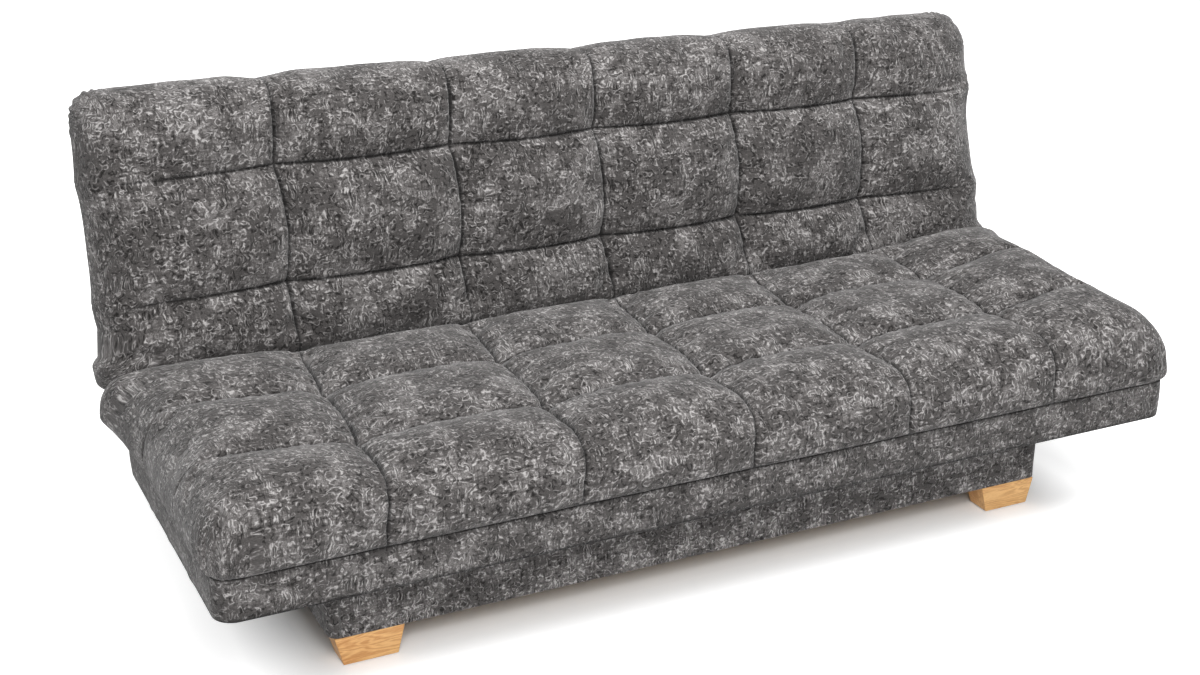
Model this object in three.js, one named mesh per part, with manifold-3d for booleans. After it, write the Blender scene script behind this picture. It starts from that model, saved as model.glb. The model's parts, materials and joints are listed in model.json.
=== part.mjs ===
// Click clack sofa bed: a tufted seat and back that hinge on one axis over a bedding box.
// Millimetres, +Z up, +X along the length, the front faces -Y.
// The origin is on the floor, at the middle of the footprint.
import * as THREE from "three";
import { mergeVertices } from "three/addons/utils/BufferGeometryUtils.js";
import Module from "manifold-3d";

const wasm = await Module();
wasm.setup();

// Overall sizes
const sofaLength = 1900;
const seatReach = 664;
const backReach = 545;
const seatUnderside = 190;
const hingeRise = 131;
const uprightDegrees = 79.5;
const liftDegrees = 20;
const slotWidth = 34;
const gap = 0.3;
const weldShare = 0.01;

// Cushions
const cushionLift = 75;
const cushionCrown = 121;
const cushionOverhang = 15;
const cushionSideOverhang = 18;
const cushionCorner = 60;
const cushionEdge = 45;
const cushionFootInset = 14;
const columnDip = 12;
const rowDip = 7;
const tuftDip = 8;
const columnSpan = 150;
const rowSpan = 100;
const seamDraw = 9;
const foldClearance = 2;
const foldBlend = 24;
const seatRowReaches = [249, 461];
const backRowReaches = [161.5, 370];
const seatSeamShares = [-0.675, -0.321, 0.013, 0.348, 0.676];
const backSeamShares = [-0.668, -0.313, 0.006, 0.331, 0.645];
const edgeLineShares = [1, 0.82, 0.55, 0.25, 0];
const panelLineShares = [0, 0.16, 0.5, 0.84];
const sideRingShares = [0.3, 0.65, 1];

// Wing frames: the wooden frame, border and slats under each cushion
const borderThickness = 6;
const borderCorner = 36;
const railThickness = 30;
const coverThickness = 1.2;
const slatThickness = 10;
const tapeThickness = 2;
const slatWidth = 60;
const slatSpacing = 128;
const tapeWidth = 40;
const tapeShares = [0.25, 0.75];
const notchClearance = 2;

// Plinth
const plinthEndInset = 225;
const plinthSetback = 125;
const plinthBehindHinge = 111;
const plinthCorner = 20;
const plinthSkin = 2.5;
const boardThickness = 18;
const floorThickness = 4;
const cornerBlockSide = 40;
const cornerBlockHeight = 60;

// Feet
const footHeight = 54;
const footInset = 8;
const footTopLength = 123;
const footTopDepth = 62;
const footFootLength = 97;
const footFootDepth = 50;
const glideThickness = 2.2;
const glideMargin = 9;
const boltRadius = 4;
const boltSink = 34;
const boltHeadRadius = 9;
const boltHeadHeight = 5;
const boltClearance = 0.4;

// Hinges
const plateThickness = 4;
const plateHalfWidth = 11;
const plateGap = 0.4;
const pawlZone = 9.8;
const pinRadius = 6;
const pinClearance = 0.3;
const pinHeadRadius = 10;
const pinHeadThickness = 3;
const armReach = 172;
const armDepth = 38;
const armDrop = 84;
const bracketDrop = 205;
const bracketHalfWidth = 45;
const bracketStepDrop = 143;
const screwHeadRadius = 7;
const screwHeadHeight = 2.4;
const armScrewReaches = [85, 150];
const bracketScrewOffset = 30;
const wheelRadius = 14;
const notchDepth = 2.2;
const notchHalfDegrees = 13;
const rampDegrees = 52;
const laterNotchDepth = 1.4;
const laterNotchHalfDegrees = 6;
const laterNotchDegrees = [36, 79.5];
const pawlContactDegrees = 225;
const pawlPinDrop = 36;
const pawlPinRadius = 3;
const pawlBossRadius = 6;
const pawlTipLength = 1.4;
const pawlTipHalfWidth = 1.6;
const pawlShoulderHalfWidth = 3.4;
const springWireRadius = 0.5;
const springTurns = 2.5;
const springPitch = 1.5;
const springLeg = 6;
const springTurnSteps = 12;
const springSides = 5;

// How finely round shapes are drawn
const outlineSegments = 5;
const plateSegments = 8;
const rodSides = 12;
const pinSides = 16;
const hexSides = 6;
const wheelSteps = 60;
const seamPower = 3;

// Worked out from the sizes above
const halfLength = sofaLength / 2;
const borderHalf = halfLength - cushionSideOverhang;
const uprightAngle = THREE.MathUtils.degToRad(uprightDegrees);
const halfFold = THREE.MathUtils.degToRad(180 - uprightDegrees - liftDegrees) / 2;
const hingeHeight = seatUnderside + hingeRise;
const backFrameReach = backReach - cushionOverhang;
const rearReach = backFrameReach * Math.cos(uprightAngle) + hingeRise * Math.sin(uprightAngle);
const hingeY = (seatReach - rearReach) / 2;
const slotHalf = slotWidth / 2;
const cushionBottom = cushionLift - hingeRise;
const cushionTop = cushionBottom + cushionCrown;
const borderTop = cushionBottom - gap;
const frameInner = borderHalf - borderThickness - gap;
const railBottom = coverThickness + gap - hingeRise;
const slatTop = cushionBottom - gap;
const slatBottom = slatTop - slatThickness;
const railTop = slatBottom - gap;
const plinthHalf = halfLength - plinthEndInset;
const plinthFront = hingeY - seatReach + plinthSetback;
const plinthRear = hingeY + plinthBehindHinge;
const plinthTop = seatUnderside - gap;
const floorTop = footHeight + gap + floorThickness;
const boardBottom = floorTop + gap;
const boardOuter = plinthHalf - plinthSkin - gap;
const boardInner = boardOuter - boardThickness;
const frontBoardFace = plinthFront + plinthSkin + gap;
const rearBoardFace = plinthRear - plinthSkin - gap;

// Stations of the hinge plates, counted from the middle of the sofa outwards
const bracketStation = boardInner - gap - plateThickness;
const pawlStation = bracketStation - pawlZone + plateGap;
const backArmStation = bracketStation - pawlZone - plateThickness;
const seatArmStation = backArmStation - plateGap - plateThickness;

// Materials
const seatFabric = fabricMaterial(0x55514d);
const backFabric = fabricMaterial(0x4f4b48);
const bandFabric = fabricMaterial(0x4a4744);
const liningFabric = fabricMaterial(0x2a2a2b);
const feltMaterial = fabricMaterial(0x6a6560);
const footWood = woodMaterial(0xb87b3f);
const railWood = woodMaterial(0xc9a877);
const slatWood = woodMaterial(0xd8bd8e);
const boardWood = woodMaterial(0xb79b72);
const hardboard = woodMaterial(0x8a6a4a);
const plateSteel = steelMaterial(0x3c3f42);
const pinSteel = steelMaterial(0x9a9da0);

function fabricMaterial(color) {
  return new THREE.MeshStandardMaterial({ color, roughness: 0.95, metalness: 0 });
}

function woodMaterial(color) {
  return new THREE.MeshStandardMaterial({ color, roughness: 0.6, metalness: 0 });
}

function steelMaterial(color) {
  return new THREE.MeshStandardMaterial({ color, roughness: 0.4, metalness: 0.9 });
}

// Solids: a closed geometry as a solid for joining and cutting, and back again
function solidOf(geometry) {
  const bare = geometry.index ? geometry.toNonIndexed() : geometry.clone();
  bare.deleteAttribute("normal");
  bare.deleteAttribute("uv");
  const merged = mergeVertices(bare, gap * weldShare);
  return new wasm.Manifold(
    new wasm.Mesh({
      numProp: 3,
      vertProperties: new Float32Array(merged.attributes.position.array),
      triVerts: new Uint32Array(merged.index.array),
    }),
  );
}

function geometryOf(solid) {
  const { vertProperties, triVerts } = solid.getMesh();
  const geometry = new THREE.BufferGeometry();
  geometry.setAttribute("position", new THREE.BufferAttribute(new Float32Array(vertProperties), 3));
  geometry.setIndex(Array.from(triVerts));
  geometry.computeVertexNormals();
  return geometry;
}

function joined(first, ...others) {
  return geometryOf(others.reduce((whole, other) => whole.add(solidOf(other)), solidOf(first)));
}

function cut(geometry, ...cutters) {
  return geometryOf(cutters.reduce((rest, cutter) => rest.subtract(solidOf(cutter)), solidOf(geometry)));
}

// Basic shapes
function boxBetween(low, high) {
  const size = high.map((value, axis) => value - low[axis]);
  const middle = high.map((value, axis) => (value + low[axis]) / 2);
  return new THREE.BoxGeometry(...size).translate(...middle);
}

// A rod along Z from one height to another, at a place in the XY plane
function uprightRod(radius, x, y, bottom, top, sides = rodSides) {
  const length = top - bottom;
  return new THREE.CylinderGeometry(radius, radius, length, sides)
    .rotateX(Math.PI / 2)
    .translate(x, y, bottom + length / 2);
}

// A rectangle with its four corners rounded, drawn anticlockwise
function roundedOutline(path, left, right, front, rear, radius) {
  path.moveTo(left + radius, front);
  path.lineTo(right - radius, front);
  path.absarc(right - radius, front + radius, radius, -Math.PI / 2, 0, false);
  path.lineTo(right, rear - radius);
  path.absarc(right - radius, rear - radius, radius, 0, Math.PI / 2, false);
  path.lineTo(left + radius, rear);
  path.absarc(left + radius, rear - radius, radius, Math.PI / 2, Math.PI, false);
  path.lineTo(left, front + radius);
  path.absarc(left + radius, front + radius, radius, Math.PI, Math.PI * 1.5, false);
  return path;
}

function raised(shape, bottom, top) {
  const settings = { depth: top - bottom, bevelEnabled: false, curveSegments: outlineSegments };
  return new THREE.ExtrudeGeometry(shape, settings).translate(0, 0, bottom);
}

function roundedSlab(half, front, rear, radius, bottom, top) {
  return raised(roundedOutline(new THREE.Shape(), -half, half, front, rear, radius), bottom, top);
}

// A band of cloth stretched round a rounded rectangle
function band(half, front, rear, radius, thickness, bottom, top) {
  const shape = roundedOutline(new THREE.Shape(), -half, half, front, rear, radius);
  const innerHalf = half - thickness;
  const inside = [-innerHalf, innerHalf, front + thickness, rear - thickness, radius - thickness];
  shape.holes.push(roundedOutline(new THREE.Path(), ...inside));
  return raised(shape, bottom, top);
}

// A long rail or board along X whose two corners on the outer side are rounded
function longRail(half, inner, outer, radius, bottom, top) {
  const turn = Math.sign(outer - inner);
  const shape = new THREE.Shape();
  shape.moveTo(-half, inner);
  shape.lineTo(half, inner);
  shape.lineTo(half, outer - turn * radius);
  shape.absarc(half - radius, outer - turn * radius, radius, 0, turn * Math.PI / 2, turn < 0);
  shape.lineTo(radius - half, outer);
  shape.absarc(radius - half, outer - turn * radius, radius, turn * Math.PI / 2, Math.PI, turn < 0);
  return raised(shape, bottom, top);
}

// A plate cut in the YZ plane and standing at a station along X
function standingPlate(shape, station, thickness, side) {
  const settings = { depth: thickness, bevelEnabled: false, curveSegments: plateSegments };
  const turned = new THREE.Matrix4().makeBasis(
    new THREE.Vector3(0, 1, 0),
    new THREE.Vector3(0, 0, 1),
    new THREE.Vector3(1, 0, 0),
  );
  const start = side > 0 ? station : -station - thickness;
  return new THREE.ExtrudeGeometry(shape, settings).applyMatrix4(turned).translate(start, 0, 0);
}

function roundHole(shape, y, z, radius) {
  const hole = new THREE.Path();
  hole.absarc(y, z, radius, 0, Math.PI * 2, true);
  shape.holes.push(hole);
}

// A pin turned about X, drawn as pairs of station and radius from its inner end outwards
function turnedPin(stations, y, z, side) {
  const profile = stations.map(([station, radius]) => new THREE.Vector2(radius, station));
  const turned = new THREE.LatheGeometry(profile, pinSides).rotateZ(-Math.PI / 2);
  return (side > 0 ? turned : turned.rotateZ(Math.PI)).translate(0, y, z);
}

// Cushions. A grid of lines covers the top. Lines near an edge carry how far out they lie,
// from 0 where the edge starts to turn down, to 1 at the edge itself.
function edgeLines(limit, side) {
  const lines = edgeLineShares.map((share) => ({
    at: limit - side * cushionCorner * (1 - share),
    out: share,
    side,
  }));
  return side > 0 ? lines.reverse() : lines;
}

function innerLines(start, seams, end) {
  const stops = [start, ...seams, end];
  const lines = [];
  for (let panel = 0; panel + 1 < stops.length; panel += 1) {
    for (const share of panelLineShares) {
      lines.push({ at: THREE.MathUtils.lerp(stops[panel], stops[panel + 1], share), out: 0, side: 0 });
    }
  }
  return lines.slice(1);
}

// How deep a sewn seam pulls at a place: 1 on the seam, 0 at its span and beyond
function seamPull(place, seams, span) {
  const pulls = seams.map((seam) => Math.max(0, 1 - Math.abs(place - seam) / span) ** seamPower);
  return Math.max(...pulls);
}

function smoothLower(first, second, blend) {
  const near = Math.max(blend - Math.abs(first - second), 0) / blend;
  return Math.min(first, second) - (near * near * blend) / 4;
}

function cushionGeometry(reach, seams, rows) {
  const cornerX = halfLength - cushionCorner;
  const nearY = slotHalf + cushionCorner;
  const farY = reach - cushionCorner;
  const innerX = innerLines(-cornerX, seams, cornerX);
  const innerY = innerLines(nearY, rows, farY);
  const linesX = [...edgeLines(-halfLength, -1), ...innerX, ...edgeLines(halfLength, 1)];
  const linesY = [...edgeLines(slotHalf, -1), ...innerY, ...edgeLines(reach, 1)];

  // The place in plan of a crossing of two lines, with the outline drawn in by an inset
  const planPlace = (lineX, lineY, inset) => {
    let x = lineX.at - lineX.side * inset * lineX.out;
    let y = lineY.at - lineY.side * inset * lineY.out;
    if (lineX.out > 0 && lineY.out > 0) {
      const most = Math.max(lineX.out, lineY.out);
      const turn = Math.PI / 4;
      const angle = lineX.out >= lineY.out
        ? turn * (lineY.out / lineX.out)
        : 2 * turn - turn * (lineX.out / lineY.out);
      const radius = (cushionCorner - inset * most) * most;
      x = lineX.side * (cornerX + radius * Math.cos(angle));
      y = (lineY.side > 0 ? farY : nearY) + lineY.side * radius * Math.sin(angle);
    }
    const farPull = lineY.side > 0 ? lineY.out * seamPull(x, seams, columnSpan) : 0;
    return [x, y - seamDraw * farPull];
  };

  const topHeight = (lineX, lineY) => {
    const [x, y] = planPlace(lineX, lineY, 0);
    const column = seamPull(x, seams, columnSpan);
    const row = seamPull(y, rows, rowSpan);
    const inward = cushionCorner * (1 - Math.max(lineX.out, lineY.out));
    const short = Math.max(0, cushionEdge - inward);
    const turnedDown = cushionEdge - Math.sqrt(cushionEdge ** 2 - short ** 2);
    const field = cushionTop - columnDip * column - rowDip * row - tuftDip * column * row - turnedDown;
    const foldLine = y * Math.tan(halfFold) - foldClearance;
    return smoothLower(foldLine, field, foldBlend);
  };

  const positions = [];
  const triangles = [];
  const addPoint = (x, y, z) => positions.push(x, y, z) / 3 - 1;
  const addQuad = (first, second, third, fourth) => {
    triangles.push(first, second, third, first, third, fourth);
  };

  const top = linesY.map((lineY) => linesX.map((lineX) => {
    return addPoint(...planPlace(lineX, lineY, 0), topHeight(lineX, lineY));
  }));
  const lastX = linesX.length - 1;
  const lastY = linesY.length - 1;
  for (let row = 0; row < lastY; row += 1) {
    for (let column = 0; column < lastX; column += 1) {
      addQuad(top[row][column], top[row][column + 1], top[row + 1][column + 1], top[row + 1][column]);
    }
  }

  // The outline, anticlockwise from the corner at the hinge end
  const outline = [];
  for (let column = 0; column < lastX; column += 1) outline.push([column, 0]);
  for (let row = 0; row < lastY; row += 1) outline.push([lastX, row]);
  for (let column = lastX; column > 0; column -= 1) outline.push([column, lastY]);
  for (let row = lastY; row > 0; row -= 1) outline.push([0, row]);

  let upper = outline.map(([column, row]) => top[row][column]);
  for (const share of sideRingShares) {
    const lower = outline.map(([column, row]) => {
      const lineX = linesX[column];
      const lineY = linesY[row];
      const place = planPlace(lineX, lineY, cushionFootInset * share ** 2);
      return addPoint(...place, THREE.MathUtils.lerp(topHeight(lineX, lineY), cushionBottom, share));
    });
    for (let step = 0; step < outline.length; step += 1) {
      const next = (step + 1) % outline.length;
      addQuad(lower[step], lower[next], upper[next], upper[step]);
    }
    upper = lower;
  }
  const middle = addPoint(0, (slotHalf + reach) / 2, cushionBottom);
  for (let step = 0; step < outline.length; step += 1) {
    triangles.push(middle, upper[(step + 1) % outline.length], upper[step]);
  }

  const geometry = new THREE.BufferGeometry();
  geometry.setAttribute("position", new THREE.Float32BufferAttribute(positions, 3));
  geometry.setIndex(triangles);
  geometry.computeVertexNormals();
  return geometry;
}

// Hinge plates
function armShape() {
  const foot = -armDrop - armDepth;
  const nose = armReach - armDepth / 2;
  const shape = new THREE.Shape();
  shape.moveTo(-plateHalfWidth, foot);
  shape.lineTo(nose, foot);
  shape.absarc(nose, foot + armDepth / 2, armDepth / 2, -Math.PI / 2, Math.PI / 2, false);
  shape.lineTo(plateHalfWidth, -armDrop);
  shape.lineTo(plateHalfWidth, 0);
  shape.absarc(0, 0, plateHalfWidth, 0, Math.PI, false);
  roundHole(shape, 0, 0, pinRadius + pinClearance);
  return shape;
}

// A screw head on the face of a plate, centred at a station along X
function screwHead(y, z, middle, side) {
  return new THREE.CylinderGeometry(screwHeadRadius, screwHeadRadius, screwHeadHeight, hexSides)
    .rotateZ(Math.PI / 2)
    .translate(side * middle, y, z);
}

function armGeometry(station, side) {
  const middle = station + plateThickness + screwHeadHeight / 2;
  const heads = armScrewReaches.map((reach) => screwHead(reach, -armDrop - armDepth / 2, middle, side));
  return joined(standingPlate(armShape(), station, plateThickness, side), ...heads);
}

function bracketGeometry(side) {
  const foot = -bracketDrop;
  const shape = new THREE.Shape();
  shape.moveTo(-bracketHalfWidth, foot);
  shape.lineTo(bracketHalfWidth, foot);
  shape.lineTo(bracketHalfWidth, -bracketStepDrop);
  shape.lineTo(plateHalfWidth, -bracketStepDrop);
  shape.lineTo(plateHalfWidth, 0);
  shape.absarc(0, 0, plateHalfWidth, 0, Math.PI, false);
  shape.lineTo(-plateHalfWidth, -bracketStepDrop);
  shape.lineTo(-bracketHalfWidth, -bracketStepDrop);
  roundHole(shape, 0, 0, pinRadius + pinClearance);
  roundHole(shape, 0, -pawlPinDrop, pawlPinRadius + pinClearance);
  const headHeight = -(bracketDrop + bracketStepDrop) / 2;
  const middle = bracketStation - screwHeadHeight / 2;
  const heads = [-1, 1].map((end) => screwHead(end * bracketScrewOffset, headHeight, middle, side));
  return joined(standingPlate(shape, bracketStation, plateThickness, side), ...heads);
}

// The notched wheel. Its rim falls into one deep notch at the pawl, with a steep side that holds the
// back up and a long ramp on the other side. Two shallow notches mark the later positions.
function wheelRim(degrees) {
  const past = degrees - pawlContactDegrees;
  const turn = THREE.MathUtils.euclideanModulo(past + 180, 360) - 180;
  const laterPull = laterNotchDegrees.map((later) => {
    return laterNotchDepth * Math.max(0, 1 - Math.abs(turn - later) / laterNotchHalfDegrees);
  });
  if (Math.abs(turn) <= notchHalfDegrees) return wheelRadius - notchDepth;
  const climbed = (turn - notchHalfDegrees) / (rampDegrees - notchHalfDegrees);
  const onRamp = turn > 0 && turn < rampDegrees;
  const rim = onRamp ? wheelRadius - notchDepth * (1 - climbed) : wheelRadius;
  return rim - Math.max(...laterPull);
}

function wheelShape() {
  const shape = new THREE.Shape();
  for (let step = 0; step < wheelSteps; step += 1) {
    const degrees = (step / wheelSteps) * 360;
    const angle = THREE.MathUtils.degToRad(degrees);
    const y = wheelRim(degrees) * Math.cos(angle);
    const z = wheelRim(degrees) * Math.sin(angle);
    if (step === 0) shape.moveTo(y, z);
    else shape.lineTo(y, z);
  }
  roundHole(shape, 0, 0, pinRadius + pinClearance);
  return shape;
}

// The pawl: a boss on its pin and a finger whose tip lies in the deep notch
function pawlShape() {
  const contact = THREE.MathUtils.degToRad(pawlContactDegrees);
  const outward = new THREE.Vector2(Math.cos(contact), Math.sin(contact));
  const across = new THREE.Vector2(-outward.y, outward.x);
  const tipDistance = wheelRadius - notchDepth + gap;
  const place = (distance, offset) => {
    return outward.clone().multiplyScalar(distance).addScaledVector(across, offset);
  };
  const tip = place(tipDistance, 0);
  const boss = new THREE.Vector2(0, -pawlPinDrop);
  const lean = Math.atan2(tip.y - boss.y, tip.x - boss.x);
  const shoulder = place(wheelRadius + pawlTipLength, 0);
  const sideways = new THREE.Vector2(-Math.sin(lean), Math.cos(lean));
  const shape = new THREE.Shape();
  const start = boss.clone().addScaledVector(sideways, -pawlBossRadius);
  shape.moveTo(start.x, start.y);
  for (const point of [
    shoulder.clone().addScaledVector(sideways, -pawlShoulderHalfWidth),
    place(tipDistance, pawlTipHalfWidth),
    place(tipDistance, -pawlTipHalfWidth),
    shoulder.clone().addScaledVector(sideways, pawlShoulderHalfWidth),
    boss.clone().addScaledVector(sideways, pawlBossRadius),
  ]) {
    shape.lineTo(point.x, point.y);
  }
  shape.absarc(boss.x, boss.y, pawlBossRadius, lean + Math.PI / 2, lean + Math.PI * 1.5, false);
  roundHole(shape, boss.x, boss.y, pawlPinRadius + pinClearance);
  return shape;
}

// A coil with two straight ends, wound about X round the pin of the pawl
class SpringCurve extends THREE.Curve {
  constructor(radius, station, side) {
    super();
    this.radius = radius;
    this.station = station;
    this.side = side;
    this.turnLength = Math.hypot(Math.PI * 2 * radius, springPitch);
    this.coilLength = this.turnLength * springTurns;
  }

  getPoint(share, target = new THREE.Vector3()) {
    const along = share * (this.coilLength + 2 * springLeg) - springLeg;
    const coiled = THREE.MathUtils.clamp(along, 0, this.coilLength);
    const straight = along - coiled;
    const angle = (coiled / this.turnLength) * Math.PI * 2;
    const climb = (coiled / this.turnLength) * springPitch;
    const y = this.radius * Math.cos(angle) - straight * Math.sin(angle);
    const z = this.radius * Math.sin(angle) + straight * Math.cos(angle);
    return target.set(this.side * (this.station + springWireRadius + climb), y, z - pawlPinDrop);
  }
}

function springGeometry(side) {
  const radius = pawlPinRadius + pinClearance + springWireRadius;
  const start = bracketStation - gap - springTurns * springPitch - 2 * springWireRadius;
  const curve = new SpringCurve(radius, start, side);
  const wire = new THREE.Shape();
  for (let corner = 0; corner < springSides; corner += 1) {
    const angle = (corner / springSides) * Math.PI * 2;
    const x = springWireRadius * Math.cos(angle);
    const y = springWireRadius * Math.sin(angle);
    if (corner === 0) wire.moveTo(x, y);
    else wire.lineTo(x, y);
  }
  const steps = Math.round((curve.coilLength + 2 * springLeg) / curve.turnLength * springTurnSteps);
  return new THREE.ExtrudeGeometry(wire, { steps, extrudePath: curve, bevelEnabled: false });
}

// One named mesh in a group
function addPart(group, name, geometry, material) {
  const mesh = new THREE.Mesh(geometry, material);
  mesh.name = name;
  group.add(mesh);
}

// A wing is a cushion on its frame, drawn flat: Y runs from the hinge axis outwards and Z up.
function wing({ name, reach, seamShares, rows, cushionFabric, coverName, outerRail, armStation, flipped }) {
  const group = new THREE.Group();
  const direction = flipped ? -1 : 1;
  const seams = seamShares.map((share) => direction * share * halfLength).sort((a, b) => a - b);
  const frameReach = reach - cushionOverhang;
  const innerNear = slotHalf + borderThickness + gap;
  const innerFar = frameReach - borderThickness - gap;
  const innerCorner = borderCorner - borderThickness - gap;
  const crossNear = innerNear + railThickness + gap;
  const crossFar = innerFar - railThickness - gap;
  const sideName = (side) => (side * direction > 0 ? "right" : "left");
  const bands = [slotHalf, frameReach, borderCorner, borderThickness, -hingeRise, borderTop];

  // Slots in the border and in the hinge rail, where the two arms pass
  const slots = [-1, 1].map((side) => {
    const inner = armStation - notchClearance;
    const outer = armStation + plateThickness + notchClearance;
    const low = [side > 0 ? inner : -outer, 0, -armDrop - armDepth - notchClearance];
    const high = [side > 0 ? outer : -inner, crossNear, notchClearance - armDrop];
    return boxBetween(low, high);
  });

  addPart(group, `${name}_cushion`, cushionGeometry(reach, seams, rows), cushionFabric);
  addPart(group, `${name}_border`, cut(band(borderHalf, ...bands), ...slots), bandFabric);
  addPart(
    group,
    coverName,
    roundedSlab(frameInner, innerNear, innerFar, innerCorner, -hingeRise, coverThickness - hingeRise),
    liningFabric,
  );
  addPart(
    group,
    `${name}_${outerRail}_rail`,
    longRail(frameInner, innerFar - railThickness, innerFar, innerCorner, railBottom, railTop),
    railWood,
  );
  const hingeRailSpan = [innerNear + railThickness, innerNear, innerCorner, railBottom, railTop];
  addPart(group, `${name}_hinge_rail`, cut(longRail(frameInner, ...hingeRailSpan), ...slots), railWood);

  // Rails from front to rear: at the ends, at the hinges and in the middle
  const crossRail = (inner, outer) => boxBetween([inner, crossNear, railBottom], [outer, crossFar, railTop]);
  for (const side of [-1, 1]) {
    const hingeRailOuter = armStation - gap;
    const endSpan = [side * frameInner, side * (frameInner - railThickness)].sort((a, b) => a - b);
    const hingeSpan = [side * hingeRailOuter, side * (hingeRailOuter - railThickness)].sort((a, b) => a - b);
    addPart(group, `${name}_${sideName(side)}_end_rail`, crossRail(...endSpan), railWood);
    addPart(group, `${name}_${sideName(side)}_bearer_rail`, crossRail(...hingeSpan), railWood);
  }
  addPart(group, `${name}_centre_rail`, crossRail(-railThickness / 2, railThickness / 2), railWood);

  // Slats from the hinge rail to the outer rail, held by two tapes
  const slatCount = Math.floor((2 * frameInner - slatWidth) / slatSpacing) + 1;
  const firstSlat = -((slatCount - 1) / 2) * slatSpacing;
  const slats = [];
  for (let slat = 0; slat < slatCount; slat += 1) {
    const centre = firstSlat + slat * slatSpacing;
    const low = [centre - slatWidth / 2, innerNear, slatBottom];
    slats.push(boxBetween(low, [centre + slatWidth / 2, innerFar, slatTop]));
  }
  const tapes = tapeShares.map((share) => {
    const centre = THREE.MathUtils.lerp(innerNear, innerFar, share);
    const low = [firstSlat, centre - tapeWidth / 2, slatTop - tapeThickness];
    return boxBetween(low, [-firstSlat, centre + tapeWidth / 2, slatTop]);
  });
  addPart(group, `${name}_slats`, joined(...slats, ...tapes), slatWood);

  for (const side of [-1, 1]) {
    addPart(group, `${name}_arm_${sideName(side)}`, armGeometry(armStation, side), plateSteel);
    if (name === "back") {
      const wheel = standingPlate(wheelShape(), pawlStation, plateThickness, side);
      wheel.rotateX(-uprightAngle);
      addPart(group, `ratchet_wheel_${sideName(side)}`, wheel, pinSteel);
    }
  }
  return group;
}

// A foot: a block of wood that tapers towards the floor, flush with the front of the plinth
function footGeometry(sideX, sideY) {
  const outerX = plinthHalf - footInset;
  const outerY = sideY < 0 ? plinthFront + gap : plinthRear - gap;
  const middleX = sideX * (outerX - footTopLength / 2);
  const middleY = outerY - (sideY * footTopDepth) / 2;
  const bottomY = outerY - (sideY * footFootDepth) / 2;
  const corners = [];
  for (const [half, depth, centreY, z] of [
    [footFootLength / 2, footFootDepth / 2, bottomY, glideThickness + gap],
    [footTopLength / 2, footTopDepth / 2, middleY, footHeight],
  ]) {
    corners.push([-half, -depth, centreY, z], [half, -depth, centreY, z]);
    corners.push([half, depth, centreY, z], [-half, depth, centreY, z]);
  }
  const positions = corners.flatMap(([x, y, centreY, z]) => [middleX + x, centreY + y, z]);
  const faces = [];
  for (let corner = 0; corner < 4; corner += 1) {
    const next = (corner + 1) % 4;
    faces.push(corner, next, next + 4, corner, next + 4, corner + 4);
  }
  faces.push(0, 2, 1, 0, 3, 2, 4, 5, 6, 4, 6, 7);
  const block = new THREE.BufferGeometry();
  block.setAttribute("position", new THREE.Float32BufferAttribute(positions, 3));
  block.setIndex(faces);
  const [boltX, boltY] = blockPlace(sideX, sideY);
  const hole = uprightRod(boltRadius + boltClearance, boltX, boltY, footHeight - boltSink - gap, floorTop);
  return cut(block, hole);
}

function glideGeometry(sideX, sideY) {
  const middleX = sideX * (plinthHalf - footInset - footTopLength / 2);
  const outerY = sideY < 0 ? plinthFront + gap : plinthRear - gap;
  const middleY = outerY - (sideY * footFootDepth) / 2;
  const halfX = footFootLength / 2 - glideMargin;
  const halfY = footFootDepth / 2 - glideMargin;
  const low = [middleX - halfX, middleY - halfY, 0];
  return boxBetween(low, [middleX + halfX, middleY + halfY, glideThickness]);
}

// Corner blocks stand inside the box, and a bolt ties each foot to its block
function blockPlace(sideX, sideY) {
  const outerX = boardInner - gap;
  const outerY = sideY < 0 ? frontBoardFace + boardThickness + gap : rearBoardFace - boardThickness - gap;
  return [sideX * (outerX - cornerBlockSide / 2), outerY - (sideY * cornerBlockSide) / 2];
}

function cornerBlockGeometry(sideX, sideY) {
  const [x, y] = blockPlace(sideX, sideY);
  const half = cornerBlockSide / 2;
  const top = boardBottom + cornerBlockHeight;
  const hole = uprightRod(boltRadius + boltClearance, x, y, footHeight, top + boltHeadHeight);
  return cut(boxBetween([x - half, y - half, boardBottom], [x + half, y + half, top]), hole);
}

function boltGeometry(sideX, sideY) {
  const [x, y] = blockPlace(sideX, sideY);
  const headBottom = boardBottom + cornerBlockHeight + gap;
  const shank = uprightRod(boltRadius, x, y, footHeight - boltSink, headBottom + boltHeadHeight / 2);
  const head = uprightRod(boltHeadRadius, x, y, headBottom, headBottom + boltHeadHeight, hexSides);
  return joined(shank, head);
}

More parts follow.
